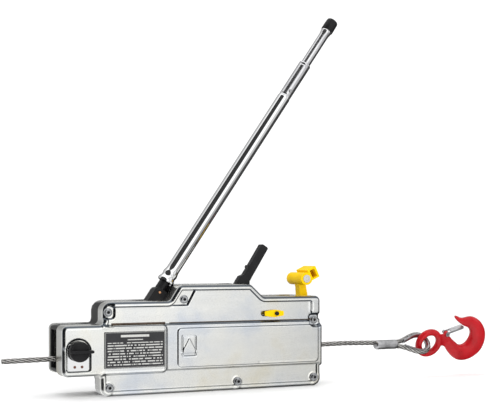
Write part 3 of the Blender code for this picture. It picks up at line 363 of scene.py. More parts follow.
def label_finish():
    """A black plate with a fine light border and rows of plain bars."""
    made = Nodes("label_black")
    split = made.new("ShaderNodeSeparateXYZ")
    made.link(made.place, split.inputs[0])
    x, z = split.outputs[0], split.outputs[2]
    row = 0.0058
    rows = made.math("DIVIDE", made.math("SUBTRACT", z, 0.0605), row)
    in_row = made.math("LESS_THAN", made.math("FRACT", rows), 0.42)
    cells = made.new("ShaderNodeCombineXYZ")
    made.link(made.math("FLOOR", made.math("DIVIDE", x, 0.0021)), cells.inputs[0])
    made.link(made.math("FLOOR", rows), cells.inputs[2])
    scatter = made.new("ShaderNodeTexWhiteNoise")
    scatter.noise_dimensions = "3D"
    made.link(cells.outputs[0], scatter.inputs["Vector"])
    words = made.math("GREATER_THAN", scatter.outputs["Value"], 0.24)

    def within(value, low, high):
        above = made.math("GREATER_THAN", value, low)
        return made.math("MULTIPLY", above, made.math("LESS_THAN", value, high))

    body = made.math("MULTIPLY", within(x, -0.202, -0.0795), within(z, 0.0655, 0.1145))
    text = made.math("MULTIPLY", made.math("MULTIPLY", in_row, words), body)
    title = made.math("MULTIPLY", within(x, -0.173, -0.110), within(z, 0.1255, 0.1305))
    subtitle = made.math("MULTIPLY", within(x, -0.158, -0.124), within(z, 0.1190, 0.1208))
    marks = made.math("MAXIMUM", made.math("MAXIMUM", text, title), subtitle)
    inner = made.math("MULTIPLY", within(x, -0.2068, -0.0747), within(z, 0.0612, 0.1358))
    middle = made.math("MULTIPLY", within(x, -0.2062, -0.0753), within(z, 0.0618, 0.1352))
    border = made.math("SUBTRACT", inner, middle)
    marks = made.math("MAXIMUM", marks, border)
    black = made.ramp(made.noise(60.0), [(0.3, (0.012, 0.012, 0.014)), (0.7, (0.022, 0.022, 0.026))])
    made.link(made.mix(marks, black, (0.55, 0.55, 0.53)), made.shader.inputs["Base Color"])
    made.bump(made.noise(900.0, 2.0), 0.00002)
    made.set(Roughness=0.36)
    return made.material


ZINC = zinc_finish()
CHROME = finish("chrome", (0.78, 0.79, 0.80), (0.88, 0.88, 0.88), 14.0, (0.03, 0.10), (300.0, 0.000004), 1.0)
TUBE = finish(
    "chrome_worn", (0.58, 0.58, 0.60), (0.74, 0.74, 0.75), 30.0, (0.12, 0.26), (500.0, 0.00001), 1.0,
)
STEEL = finish(
    "bare_steel", (0.30, 0.30, 0.31), (0.52, 0.52, 0.52), 55.0, (0.18, 0.34), (700.0, 0.00002), 1.0,
)
BOLT = finish("bolt_zinc", (0.26, 0.27, 0.28), (0.46, 0.47, 0.48), 90.0, (0.16, 0.30), (600.0, 0.00002), 1.0)
WIRE = finish(
    "rope_steel", (0.24, 0.23, 0.22), (0.62, 0.61, 0.59), 220.0, (0.26, 0.48), (1500.0, 0.00002), 1.0,
)
# Painted shade: a near-black for the rope faces where its strands meet.
GROOVE_SHADE = finish(
    "rope_groove_shade", (0.02, 0.02, 0.02), (0.06, 0.058, 0.055), 260.0, (0.4, 0.6), (1500.0, 0.00002), 0.6,
)
GALVANISED = finish(
    "galvanised", (0.34, 0.34, 0.35), (0.52, 0.52, 0.53), 130.0, (0.26, 0.42), (500.0, 0.00004), 1.0,
)
BLACK = finish(
    "black_steel", (0.005, 0.005, 0.006), (0.013, 0.013, 0.014), 40.0, (0.30, 0.46), (420.0, 0.00005),
    Specular_IOR_Level=0.24,
)
PLASTIC = finish(
    "black_plastic", (0.006, 0.006, 0.007), (0.012, 0.012, 0.013), 70.0, (0.34, 0.46), (1400.0, 0.00003),
    Specular_IOR_Level=0.20,
)
RIVET = finish("rivet_brown", (0.09, 0.03, 0.018), (0.20, 0.07, 0.04), 300.0, (0.3, 0.5), (900.0, 0.00002))
YELLOW = finish(
    "yellow_plastic", (0.86, 0.54, 0.001), (0.94, 0.62, 0.003), 30.0, (0.34, 0.46), (900.0, 0.00003),
    Specular_IOR_Level=0.07,
)
GREY = finish("grey_plastic", (0.42, 0.42, 0.41), (0.52, 0.52, 0.50), 60.0, (0.36, 0.46), (1200.0, 0.00003))
RED = finish(
    "red_paint", (0.34, 0.002, 0.006), (0.48, 0.004, 0.010), 26.0, (0.22, 0.38), (260.0, 0.00012),
    Specular_IOR_Level=0.16, Coat_Weight=0.30, Coat_Roughness=0.12,
)
COPPER = finish("copper", (0.62, 0.30, 0.14), (0.80, 0.46, 0.26), 200.0, (0.24, 0.40), (800.0, 0.00002), 1.0)
SPRING = finish(
    "spring_steel", (0.24, 0.24, 0.26), (0.40, 0.40, 0.42), 90.0, (0.22, 0.36), (700.0, 0.00002), 1.0,
)
# Painted shade, not oxide: a dark brown for the thin tubes laid where the band and the anchor box meet the
# upper face.
SEAM_SHADE = finish("seam_painted_shade", (0.050, 0.030, 0.018), (0.11, 0.075, 0.05), 120.0, (0.5, 0.7), (700.0, 0.00005))
FLOOR = finish(
    "floor", (0.91, 0.91, 0.91), (0.94, 0.94, 0.94), 0.8, (0.7, 0.8), (30.0, 0.0002), Specular_IOR_Level=0.1,
)
LABEL = label_finish()
SLOTS = {
    "zinc_plate": ZINC, "chrome": CHROME, "bare_steel": STEEL, "rope_steel": WIRE,
    "black_steel": BLACK, "black_plastic": PLASTIC, "yellow_plastic": YELLOW,
    "grey_plastic": GREY, "red_paint": RED, "copper": COPPER, "label_black": LABEL,
    "spring_steel": SPRING,
}


def dress_frame():
    """Every carried-over CAD node gets its slot's finish."""
    for part in frame["record"]["subparts"]:
        node = frame["nodes"][part["node"]]
        node.data.materials.clear()
        surface = RIVET if part["node"].startswith("keeper_rivet") else SLOTS[part["material_slot"]]
        node.data.materials.append(surface)


def floor():
    mesh = bpy.data.meshes.new("floor")
    reach = 12.0
    corners = [(-reach, -reach, 0.0), (reach, -reach, 0.0), (reach, reach, 0.0), (-reach, reach, 0.0)]
    mesh.from_pydata(corners, [], [(0, 1, 2, 3)])
    made = add("floor", mesh)
    made.location.z = -0.0006
    made.visible_glossy = False
    mesh.materials.append(FLOOR)
    made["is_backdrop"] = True


# ---------------------------------------------------------------- shape helpers
def piece(obj, name, surface, slot, body, nodes=(), angle=35.0):
    """Names a piece, gives it its finish, hangs it on the body it rides on, and hides the CAD nodes it stands
    for.
    """
    obj.name = name
    obj.data.name = name
    obj.data.materials.clear()
    obj.data.materials.append(surface)
    if obj.type == "MESH":
        obj.data.shade_smooth()
        obj.data.set_sharp_from_angle(angle=math.radians(angle))
    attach(obj, body)
    if nodes:
        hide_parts(*nodes)
    return obj


def from_bmesh(work, name):
    mesh = bpy.data.meshes.new(name)
    work.to_mesh(mesh)
    work.free()
    return add(name, mesh)


def rings_to_bmesh(work, sections, capped=True):
    """Joins closed sections in turn, with or without a face at each end."""
    rings = [[work.verts.new(point) for point in section] for section in sections]
    for ring, following in zip(rings, rings[1:]):
        count = len(ring)
        for k in range(count):
            after = (k + 1) % count
            work.faces.new((ring[k], ring[after], following[after], following[k]))
    if capped:
        work.faces.new(rings[0])
        work.faces.new(rings[-1])


def loft(sections, name, capped=True):
    work = bmesh.new()
    rings_to_bmesh(work, sections, capped=capped)
    bmesh.ops.recalc_face_normals(work, faces=work.faces)
    return from_bmesh(work, name)


def turned(profile, name, matrix, steps=64, closed=False):
    """A profile of (radius, height) turned about Z, then placed by matrix."""
    work = bmesh.new()
    count = len(profile)
    rings = []
    for radius, height in profile:
        if radius < 1e-6:
            rings.append([work.verts.new((0.0, 0.0, height))])
            continue
        angles = [2 * math.pi * k / steps for k in range(steps)]
        rings.append([work.verts.new((radius * math.cos(a), radius * math.sin(a), height)) for a in angles])
    pairs = [(k, k + 1) for k in range(count - 1)] + ([(count - 1, 0)] if closed else [])
    for first, second in pairs:
        one, two = rings[first], rings[second]
        for k in range(steps):
            after = (k + 1) % steps
            corners = [one[k % len(one)], one[after % len(one)], two[after % len(two)], two[k % len(two)]]
            work.faces.new(list(dict.fromkeys(corners)))
    bmesh.ops.recalc_face_normals(work, faces=work.faces)
    bmesh.ops.transform(work, matrix=matrix, verts=work.verts)
    return from_bmesh(work, name)


def softened(node, name, surface, slot, body, width, segments=3, angle=30.0):
    """A copy of a CAD node with its coplanar faces merged and its edges rounded."""
    work = bmesh.new()
    work.from_mesh(frame["nodes"][node].data)
    bmesh.ops.remove_doubles(work, verts=work.verts, dist=1e-6)
    bmesh.ops.dissolve_limit(work, angle_limit=math.radians(0.5), verts=work.verts, edges=work.edges)
    made = from_bmesh(work, name)
    edge = made.modifiers.new("edges", "BEVEL")
    edge.width = width
    edge.segments = segments
    edge.limit_method = "ANGLE"
    edge.angle_limit = math.radians(angle)
    edge.harden_normals = True
    return piece(made, name, surface, slot, body, [node], 40.0)


def rounded(corners, inset, steps=8):
    """Points round a polygon of (x, z, radius) corners, moved inwards by inset."""
    points = []
    count = len(corners)
    for i, (x, z, radius) in enumerate(corners):
        here = Vector((x, z))
        before = (here - Vector(corners[i - 1][:2])).normalized()
        after = (Vector(corners[(i + 1) % count][:2]) - here).normalized()
        inward = Vector((-before.y, before.x)) + Vector((-after.y, after.x))
        corner = here + inward * (inset / (1.0 + before.dot(after)))
        turn = math.atan2(before.x * after.y - before.y * after.x, before.dot(after))
        bend = max(radius - math.copysign(inset, turn), 0.0004)
        reach = bend * math.tan(abs(turn) / 2)
        side = math.copysign(1.0, turn)
        centre = corner - before * reach + Vector((-before.y, before.x)) * bend * side
        spoke = (corner - before * reach) - centre
        for k in range(steps + 1):
            points.append(centre + Matrix.Rotation(turn * k / steps, 2) @ spoke)
    return points


def smooth(low, high, value):
    share = min(max((value - low) / (high - low), 0.0), 1.0)
    return share * share * (3 - 2 * share)


def box_distance(x, z, limits, radius):
    """Signed distance to a rounded rectangle, negative inside."""
    left, right, bottom, top = limits
    dx = abs(x - (left + right) / 2) - (right - left) / 2 + radius
    dz = abs(z - (bottom + top) / 2) - (top - bottom) / 2 + radius
    return math.hypot(max(dx, 0.0), max(dz, 0.0)) + min(max(dx, dz), 0.0) - radius


# ---------------------------------------------------------------- casing
def outline(anchor_left, block_left, body_left, fillet, band_step):
    """The casing's corners; band_step is how far the band stands out at the right end."""
    right = 0.3095
    corners = [(body_left, 0.0, 0.018), (right, 0.0, 0.018)]
    if band_step:
        corners += [
            (right, 0.0455, 0.002), (right + band_step, 0.049, 0.002),
            (right + band_step, 0.1515, 0.002), (right, 0.155, 0.002),
        ]
    return corners + [
        (right, 0.206, 0.012), (0.165, 0.206, 0.012), (0.135, 0.234, 0.014),
        (-0.036, 0.234, 0.014), (-0.058, 0.200, 0.012), (block_left, 0.200, 0.020),
        (block_left, 0.152, 0.010), (anchor_left, 0.152, 0.012),
        (anchor_left, 0.045, 0.012), (body_left, 0.045, fillet),
    ]


def edge_distance(x, z, loop):
    """Distance from a point to a closed polyline."""
    best = 1.0
    for (ax, az), (bx, bz) in zip(loop, loop[1:] + loop[:1]):
        ex, ez = bx - ax, bz - az
        share = ((x - ax) * ex + (z - az) * ez) / (ex * ex + ez * ez)
        share = min(max(share, 0.0), 1.0)
        best = min(best, math.hypot(x - ax - share * ex, z - az - share * ez))
    return best


def front_depth(x, z, edge):
    """How far out the front face stands at a point, edge being its distance from the outline."""
    depth = FACE_Y + 0.0034 * smooth(0.0092, 0.0128, edge)
    corner = box_distance(x, z, (0.2835, 0.330, 0.160, 0.230), 0.008)
    depth += (FACE_Y - depth) * smooth(0.0, -0.0040, corner)
    band = box_distance(x, z, (-0.190, 0.330, 0.049, 0.152), 0.006)
    depth += (BAND_Y - depth) * smooth(0.0, -0.0045, band)
    panel = box_distance(x, z, (-0.044, 0.3005, 0.056, 0.1415), 0.009)
    depth -= 0.0021 * smooth(0.0010, -0.0022, panel)
    line = box_distance(x, z, (0.150, 0.2985, 0.0592, 0.0612), 0.001)
    depth += 0.0006 * smooth(0.0012, -0.0004, line)
    anchor = box_distance(x, z, (-0.320, -0.066, 0.0446, 0.1524), 0.013)
    lifted = ANCHOR_Y + 0.0013 * smooth(-0.0055, -0.0085, anchor)
    depth += (lifted - depth) * smooth(0.0, -0.0060, anchor)
    plaque = box_distance(x, z, (-0.0335, -0.0015, 0.0800, 0.1250), 0.003)
    depth += 0.0013 * (smooth(0.0012, 0.0, plaque) - smooth(-0.0010, -0.0022, plaque))
    arrow = max(abs(x + 0.0175) - 0.55 * (0.1195 - z), 0.0865 - z)
    depth -= 0.0015 * smooth(0.0008, -0.0010, arrow)
    for i, (bx, bz) in enumerate(BOLTS):
        away = math.hypot(x - bx, z - bz)
        if i == 1:
            lean = (x - bx - 0.0165 - 0.55 * (z - bz)) * 0.88
            dish = max(bz - 0.0150 - z, lean, -0.056 - x)
            depth += (POCKET_Y - depth) * smooth(0.0005, -0.0048, dish) * smooth(RIM, 0.0125, edge)
        elif i in POCKETED:
            dish = box_distance(x, z, (bx - 0.0165, bx + 0.0165, bz - 0.0165, bz + 0.0165), 0.011)
            depth += (POCKET_Y - depth) * smooth(0.0005, -0.0058, dish)
        else:
            depth -= 0.0008 * smooth(0.0125, 0.0105, away)
    arch = box_distance(
        x, z, (KNOB[0] - RECESS_RADIUS, KNOB[0] + RECESS_RADIUS, 0.056, KNOB[1] + RECESS_RADIUS),
        0.006 if z < KNOB[1] else RECESS_RADIUS - 0.0002,
    )
    depth += (RECESS_Y - depth) * smooth(0.0016, -0.0014, arch)
    track = box_distance(x, z, (0.1600, 0.2010, INDICATOR[1] - 0.0045, INDICATOR[1] + 0.0045), 0.0040)
    return depth + 0.0060 * smooth(0.0006, -0.0010, track)


def rear_depth(x, z, edge):
    depth = REAR_Y - 0.0018 * smooth(0.0065, 0.0100, edge)
    panel = box_distance(x, z, (-0.165, 0.270, 0.040, 0.165), 0.018)
    depth += 0.0012 * smooth(0.002, -0.004, panel)
    for bx, bz in BOLTS:
        depth -= 0.0006 * smooth(0.0125, 0.0105, math.hypot(x - bx, z - bz))
    return depth


def divided(points, counts):
    """A closed loop with each edge cut into its own number of steps."""
    made = []
    for point, following, count in zip(points, points[1:] + points[:1], counts):
        made += [point.lerp(following, k / count) for k in range(count)]
    return made


def shell(corners, back, rim, face, depth_at, near_feature, name):
    """A pressed shell: a lip at the back, a side wall, a rolled rim and a modelled face."""
    sign = math.copysign(1.0, face - back)
    base = rounded(corners, 0.0)
    counts = [max(1, round((b - a).length / OUTLINE_STEP)) for a, b in zip(base, base[1:] + base[:1])]
    loop = [(p.x, p.y) for p in divided(base, counts)]
    rim_loop = divided(rounded(corners, rim), counts)
    heights = [depth_at(p.x, p.y, rim) for p in rim_loop]
    outer_loop = divided(base, counts)
    sheet_loop = divided(rounded(corners, SHEET), counts)
    sections = [
        [(p.x, back + sign * LIP, p.y) for p in sheet_loop],
        [(p.x, back, p.y) for p in sheet_loop],
        [(p.x, back, p.y) for p in outer_loop],
    ]
    for k in range(ROLL_STEPS):
        angle = math.pi / 2 * k / ROLL_STEPS
        ring = divided(rounded(corners, rim * (1 - math.cos(angle))), counts)
        drop = rim * (1 - math.sin(angle))
        sections.append([(p.x, h - sign * drop, p.y) for p, h in zip(ring, heights)])
    sections.append([(p.x, h, p.y) for p, h in zip(rim_loop, heights)])
    for k in range(1, CREASE_STEPS + 1):
        inset = rim + CREASE_STEP * k
        inner = divided(rounded(corners, inset), counts)
        sections.append([(p.x, depth_at(p.x, p.y, inset), p.y) for p in inner])
    work = bmesh.new()
    rings_to_bmesh(work, sections, capped=False)

    left = min(p.x for p in inner)
    right = max(p.x for p in inner)
    top = max(p.y for p in inner)
    points = [Vector((p.x, p.y)) for p in inner]
    border = len(points)
    coarse = 3
    columns = int((right - left) / GRID_STEP)
    lines = int(top / GRID_STEP)
    edges = {}
    for i in range(columns):
        for j in range(lines):
            x, z = left + GRID_STEP * i, GRID_STEP * j
            on_coarse = i % coarse == 0 and j % coarse == 0
            if not on_coarse and not near_feature(x, z):
                continue
            if not inside(x, z, corners, rim):
                continue
            edge = edge_distance(x, z, loop[::2])
            if edge < inset + 0.0008:
                continue
            edges[(round(x, 6), round(z, 6))] = edge
            points.append(Vector((x, z)))
    found = delaunay_2d_cdt(points, [], [list(range(border))], 1, 1e-7)
    verts = []
    for p in found[0]:
        edge = edges.get((round(p.x, 6), round(p.y, 6)), inset)
        verts.append(work.verts.new((p.x, depth_at(p.x, p.y, edge), p.y)))
    for face_corners in found[2]:
        work.faces.new([verts[k] for k in face_corners])
    bmesh.ops.remove_doubles(work, verts=work.verts, dist=2e-5)
    bmesh.ops.recalc_face_normals(work, faces=work.faces)
    return from_bmesh(work, name)


def inside(x, z, corners, inset):
    """Whether a point is within the casing's outline, by its straight pieces."""
    count = 0
    for (ax, az, _), (bx, bz, _) in zip(corners, corners[1:] + corners[:1]):
        if (az > z) != (bz > z) and x < ax + (z - az) * (bx - ax) / (bz - az):
            count += 1
    return count % 2 == 1


def front_features(x, z):
    """Where the front face needs its finest grid."""
    near = 0.0075
    marks = (
        ((-0.190, 0.330, 0.049, 0.152), 0.006, near),
        ((-0.044, 0.3005, 0.056, 0.1415), 0.009, 0.0045),
        ((0.150, 0.2985, 0.0592, 0.0612), 0.001, 0.003),
        ((-0.320, -0.066, 0.0446, 0.1524), 0.013, 0.0100),
        ((-0.0335, -0.0015, 0.0800, 0.1250), 0.003, 0.0035),
        ((KNOB[0] - RECESS_RADIUS, KNOB[0] + RECESS_RADIUS, 0.056, KNOB[1] + RECESS_RADIUS), 0.015, 0.0065),
        ((0.1600, 0.2010, 0.1635, 0.1725), 0.004, 0.003),
    )
    if any(abs(box_distance(x, z, limits, radius)) < reach for limits, radius, reach in marks):
        return True
    if abs(x + 0.0175) < 0.018 and 0.083 < z < 0.122:
        return True
    return any(math.hypot(x - bx, z - bz) < (0.030 if i == 1 else 0.021) for i, (bx, bz) in enumerate(BOLTS))


def rear_features(x, z):
    return abs(box_distance(x, z, (-0.165, 0.270, 0.040, 0.165), 0.018)) < 0.006 or any(
        math.hypot(x - bx, z - bz) < 0.015 for bx, bz in BOLTS
    )


def casing():
    front = outline(-0.298, -0.208, -0.214, 0.008, 0.0035)
    made = shell(front, SHELL_BACK, RIM, FACE_Y, front_depth, front_features, "front_shell_pressing")
    piece(made, "front_shell_pressing", ZINC, "zinc_plate", "casing", ["front_shell"], 70.0)
    rear = outline(-0.2955, -0.199, -0.190, 0.018, 0.0)
    made = shell(rear, REAR_FRONT, 0.006, REAR_Y, rear_depth, rear_features, "rear_shell_pressing")
    piece(made, "rear_shell_pressing", ZINC, "zinc_plate", "casing", ["rear_shell"], 70.0)
    softened("inner_frame", "inner_frame_edges", BLACK, "black_steel", "casing", 0.0009, 2)


def facing_front(x, y, z):
    """A matrix that turns +Z into -Y at a place on the front face."""
    return Matrix.Translation((x, y, z)) @ Matrix.Rotation(math.pi / 2, 4, "X")


def bolts():
    for i, (x, z) in enumerate(BOLTS):
        seat = (POCKET_Y if i in POCKETED else FACE_Y) - 0.0003
        seat -= 0.0 if i in POCKETED else 0.0006
        work = bmesh.new()
        steps, sides = 48, 6
        head, radius, socket = 0.0055, 0.0075, 0.0036
        profile = [
            (0.0095, 0.0), (0.0095, 0.0010), (0.0080, 0.0012), (radius, 0.0012),
            (radius, head - 0.0009), (radius - 0.0009, head), (0.0050, head),
        ]
        sections = []
        for r, h in profile:
            sections.append([
                (r * math.cos(2 * math.pi * k / steps), r * math.sin(2 * math.pi * k / steps), h)
                for k in range(steps)
            ])
        for depth in (head - 0.0002, head - 0.0034):
            ring = []
            for k in range(steps):
                angle = 2 * math.pi * k / steps
                flat = math.cos(math.pi / sides) / math.cos((angle % (2 * math.pi / sides)) - math.pi / sides)
                ring.append((socket * flat * math.cos(angle), socket * flat * math.sin(angle), depth))
            sections.append(ring)
        rings_to_bmesh(work, sections)
        bmesh.ops.recalc_face_normals(work, faces=work.faces)
        bmesh.ops.transform(work, matrix=facing_front(x, seat, z), verts=work.verts)
        made = from_bmesh(work, "bolt")
        piece(made, f"bolt_head_{i + 1}", BOLT, "bare_steel", "casing", [f"casing_bolt_{i + 1}"])
        # Painted shade: the faces inside the hex socket get black steel.
        made.data.materials.append(BLACK)
        for face in made.data.polygons:
            if math.hypot(face.center.x - x, face.center.z - z) < socket * 1.02:
                face.material_index = 1


def seams():
    """The dark lines, laid as painted shade, where the raised band and the anchor box meet the upper face."""
    runs = (("band_seam", -0.060, 0.300, 0.0010), ("anchor_box_seam", -0.190, -0.070, 0.0023))
    for name, start, end, radius in runs:
        data = bpy.data.curves.new(name, "CURVE")
        data.dimensions = "3D"
        line = data.splines.new("POLY")
        points = [(start + (end - start) * k / 24, FACE_Y + 0.0036, 0.1529) for k in range(25)]
        line.points.add(len(points) - 1)
        for spot, point in zip(line.points, points):
            spot.co = (*point, 1.0)
        data.bevel_depth = radius
        data.use_fill_caps = True
        piece(add(name, data), name, SEAM_SHADE, "black_steel", "casing")


def plates():
    label = softened("label_plate", "label_face", LABEL, "label_black", "casing", 0.0003, 2)
    label.modifiers["edges"].angle_limit = math.radians(50)
    softened("keeper_plate", "keeper_edges", CHROME, "chrome", "casing", 0.0004, 2)


# ---------------------------------------------------------------- levers and handle
def handle():
    place = Matrix.Translation(FORWARD) @ Matrix.Rotation(LEAN, 4, "Y") @ Matrix.Translation((0, 0, BELL))
    outer = [
        (0.0146, 0.5182), (0.0150, 0.5174), (0.0150, 0.5150), (0.0150, 0.0370), (0.0150, 0.0340),
        (0.0153, 0.0300), (0.0163, 0.0255),
        (0.0171, 0.022), (0.0170, 0.0185), (0.0161, 0.0155), (0.0161, 0.0135), (0.0170, 0.0100),
        (0.0187, 0.0068), (0.0194, 0.0050), (0.0194, 0.0025), (0.0189, 0.0), (0.0160, 0.0),
        (0.0135, 0.0020), (0.0130, 0.0060), (0.0130, 0.5182),
    ]
    made = turned(outer, "handle_tube_lower", place, 72, closed=True)
    piece(made, "handle_tube_lower", CHROME, "chrome", "handle_outer", ["handle_outer_tube"])
    collar = [
        (0.0119, 0.6160), (0.0136, 0.6160), (0.01425, 0.6150), (0.01425, 0.6105), (0.0139, 0.6100),
        (0.0139, 0.6085), (0.01425, 0.6080), (0.01425, 0.6060), (0.01425, 0.5260), (0.01425, 0.5240),
        (0.0139, 0.5235), (0.0139, 0.5215),
        (0.01425, 0.5210), (0.01425, 0.5183), (0.0127, 0.5183), (0.0127, 0.4800), (0.0116, 0.4800),
        (0.0116, 0.6150),
    ]
    made = turned(collar, "handle_collar_ring", place, 72, closed=True)
    bore_for(made, frame["nodes"]["handle_button"], 0.0004)
    piece(made, "handle_collar_ring", TUBE, "chrome", "handle_outer", ["handle_collar"])
    inner = [
        (0.0126, 0.7172), (0.0130, 0.7165), (0.0128, 0.7130), (0.0118, 0.7075), (0.01128, 0.7040),
        (0.01125, 0.7000), (0.01125, 0.6950), (0.01125, 0.1640), (0.01125, 0.1605), (0.0108, 0.1600),
        (0.0096, 0.1600), (0.0096, 0.7172),
    ]
    made = turned(inner, "handle_tube_upper", place, 64, closed=True)
    piece(made, "handle_tube_upper", TUBE, "chrome", "handle_inner", ["handle_inner_tube"])
    cap = [
        (0.0, 0.7480), (0.0095, 0.7480), (0.0118, 0.7474), (0.0133, 0.7458), (0.0140, 0.7435),
        (0.0144, 0.7300), (0.0145, 0.7200), (0.0142, 0.7178), (0.0136, 0.7173), (0.0, 0.7173),
    ]
    made = turned(cap, "handle_end_cap", place, 64)
    piece(made, "handle_end_cap", PLASTIC, "black_plastic", "handle_inner", ["handle_cap"])


def bore_for(made, button, gap):
    """Bores a piece for a CAD node that moves through it along Y, with room past both its ends."""
    corners = [button.matrix_world @ Vector(corner) for corner in button.bound_box]
    low = Vector([min(corner[i] for corner in corners) for i in range(3)])
    high = Vector([max(corner[i] for corner in corners) for i in range(3)])
    work = bmesh.new()
    radius = (high.x - low.x) / 2 + gap
    bmesh.ops.create_cone(
        work, cap_ends=True, segments=48, radius1=radius, radius2=radius, depth=3 * (high.y - low.y),
        matrix=facing_front(*((low + high) / 2)),
    )
    cutter = from_bmesh(work, "bore_cutter")
    cut = made.modifiers.new("bore", "BOOLEAN")
    cut.object = cutter
    depsgraph = bpy.context.evaluated_depsgraph_get()
    whole = made.data
    made.data = bpy.data.meshes.new_from_object(made.evaluated_get(depsgraph))
    made.modifiers.clear()
    bpy.data.meshes.remove(whole)
    bpy.data.objects.remove(cutter, do_unlink=True)


def levers():
    black, yellow = (BLACK, "black_steel"), (YELLOW, "yellow_plastic")
    softened("forward_lever", "forward_lever_forging", *black, "forward_lever_unit", 0.0022)
    softened("reverse_lever", "reverse_lever_forging", *black, "reverse_lever_unit", 0.0016)
    softened("release_lever", "release_lever_moulding", *yellow, "release_lever_unit", 0.0013)
    x, z, half = BARREL
    front = -half - 0.002
    profile = [
        (0.0, 0.0007), (0.0034, 0.0007), (0.0038, 0.0), (0.0074, 0.0), (0.0084, -0.0003),
        (0.0090, -0.0010), (0.0090, -0.0070), (0.0, -0.0070),
    ]
    made = turned(profile, "release_button_disc", facing_front(x, front, z), 56)
    piece(made, "release_button_disc", GREY, "grey_plastic", "release_catch", ["release_button"])
    softened("release_indicator", "indicator_lozenge", *yellow, "indicator_unit", 0.0008)


def knob():
    x, z = KNOB
    base = -0.0668
    profile = [
        (0.0, 0.0138), (0.0150, 0.0138), (0.0168, 0.0146), (0.0188, 0.0150), (0.0205, 0.0143),
        (0.0213, 0.0128), (0.0215, 0.0110), (0.0215, 0.0030), (0.0212, 0.0012), (0.0203, 0.0),
        (0.0, 0.0),
    ]
    disc = turned(profile, "anchor_knob_disc", facing_front(x, base, z), 72)
    work = bmesh.new()
    work.from_mesh(disc.data)
    bar = [(x - 0.0190, z, 0.0033), (x + 0.0250, z, 0.0033)]
    y_front, y_back = base - 0.0212, base - 0.0130
    loop = []
    for end, (cx, cz, r) in enumerate(bar):
        start = math.pi / 2 if end == 0 else -math.pi / 2
        angles = [start + math.pi * k / 8 for k in range(9)]
        loop += [(cx + r * math.cos(angle), cz + r * math.sin(angle)) for angle in angles]
    middle = (x + 0.003, z)
    levels = [(y_back, 1.0), (y_front + 0.0016, 1.0), (y_front + 0.0005, 0.97), (y_front, 0.90)]
    sections = []
    for y, size in levels:
        along, across = 0.3 * (1.0 - size), 2.4 * (1.0 - size)
        sections.append([
            (px - (px - middle[0]) * along, y, pz - (pz - middle[1]) * across) for px, pz in loop
        ])
    rings_to_bmesh(work, sections)
    bmesh.ops.recalc_face_normals(work, faces=work.faces)
    work.to_mesh(disc.data)
    work.free()
    piece(disc, "anchor_knob_disc", PLASTIC, "black_plastic", "anchor_knob_unit", ["anchor_knob"])


# ---------------------------------------------------------------- rope, ferrule, hook
def on_rope(x):
    return Vector((x, 0.0, ROPE_Z + ROPE_SLOPE * x))


def in_loop(x, s, n=0.0):
    sine, cosine = math.sin(LOOP_TILT), math.cos(LOOP_TILT)
    return Vector((x, -s * sine + n * cosine, FERRULE_Z - s * cosine - n * sine))


def eye_points(leg_steps, crown_steps):
    """(x, s) points of the eye, from the ferrule round the crown and back."""
    start = FERRULE_X[1] + 0.0003
    leg = []
    for k in range(leg_steps):
        share = k / leg_steps
        ease = share * share * (3 - 2 * share)
        leg.append((start + (LOOP_X - start) * share, LEG + (LOOP_RADIUS - LEG) * ease))
    crown = []
    for k in range(crown_steps + 1):
        angle = math.pi / 2 - math.pi * k / crown_steps
        crown.append((LOOP_X + LOOP_RADIUS * math.cos(angle), LOOP_RADIUS * math.sin(angle)))
    return leg + crown + [(x, -s) for x, s in reversed(leg)]


def resampled(points, step):
    """Points evenly spaced along a polyline."""
    made = [points[0].copy()]
    left = step
    for a, b in zip(points, points[1:]):
        length = (b - a).length
        done = 0.0
        while length - done >= left:
            done += left
            made.append(a.lerp(b, done / length))
            left = step
        left -= length - done
    if (made[-1] - points[-1]).length > step * 0.3:
        made.append(points[-1].copy())
    return made


def stranded(path, name, start_turn=0.0):
    """Six strands of seven wires laid right-handed round a path."""
    step = 0.0011
    line = resampled(path, step)
    lay, strands, wires = 0.094, 6, 7
    strand_radius = ROPE_RADIUS / 3 * 0.98
    off = ROPE_RADIUS - strand_radius
    sides = wires * 3
    work = bmesh.new()
    side = None
    frames, groove_shade = [], []
    for k, point in enumerate(line):
        along = (line[min(k + 1, len(line) - 1)] - line[max(k - 1, 0)]).normalized()
        if side is None:
            side = along.orthogonal().normalized()
        side = (side - along * side.dot(along)).normalized()
        frames.append((point, side, along.cross(side)))
    for strand in range(strands):
        sections = []
        for k, (point, one, two) in enumerate(frames):
            turn = start_turn + 2 * math.pi * (k * step / lay + strand / strands)
            out = one * math.cos(turn) + two * math.sin(turn)
            round_it = two * math.cos(turn) - one * math.sin(turn)
            centre = point + out * off
            ring = []
            for s in range(sides):
                angle = 2 * math.pi * s / sides
                lobe = 1.0 if s % 3 else 0.86
                spin = angle - 2 * math.pi * k * step / (lay * 0.42)
                reach = strand_radius * lobe
                ring.append(centre + out * (reach * math.cos(spin)) + round_it * (reach * math.sin(spin)))
                # Strand faces that turn away from the rope's outside, where strands meet, are marked for
                # painted shade.
                if k < len(frames) - 1:
                    groove_shade.append(math.cos(spin + math.pi / sides) < 0.40)
            sections.append(ring)
        groove_shade += [False, False]
        rings_to_bmesh(work, sections)
    bmesh.ops.recalc_face_normals(work, faces=work.faces)
    return from_bmesh(work, name), line, groove_shade


def rope_piece(strands, groove_shade, *named):
    """A stranded length, with painted shade where its strands meet."""
    piece(strands, *named)
    strands.data.materials.append(GROOVE_SHADE)
    for face, dark in zip(strands.data.polygons, groove_shade):
        face.material_index = int(dark)


def length_of(points):
    return sum((b - a).length for a, b in zip(points, points[1:]))


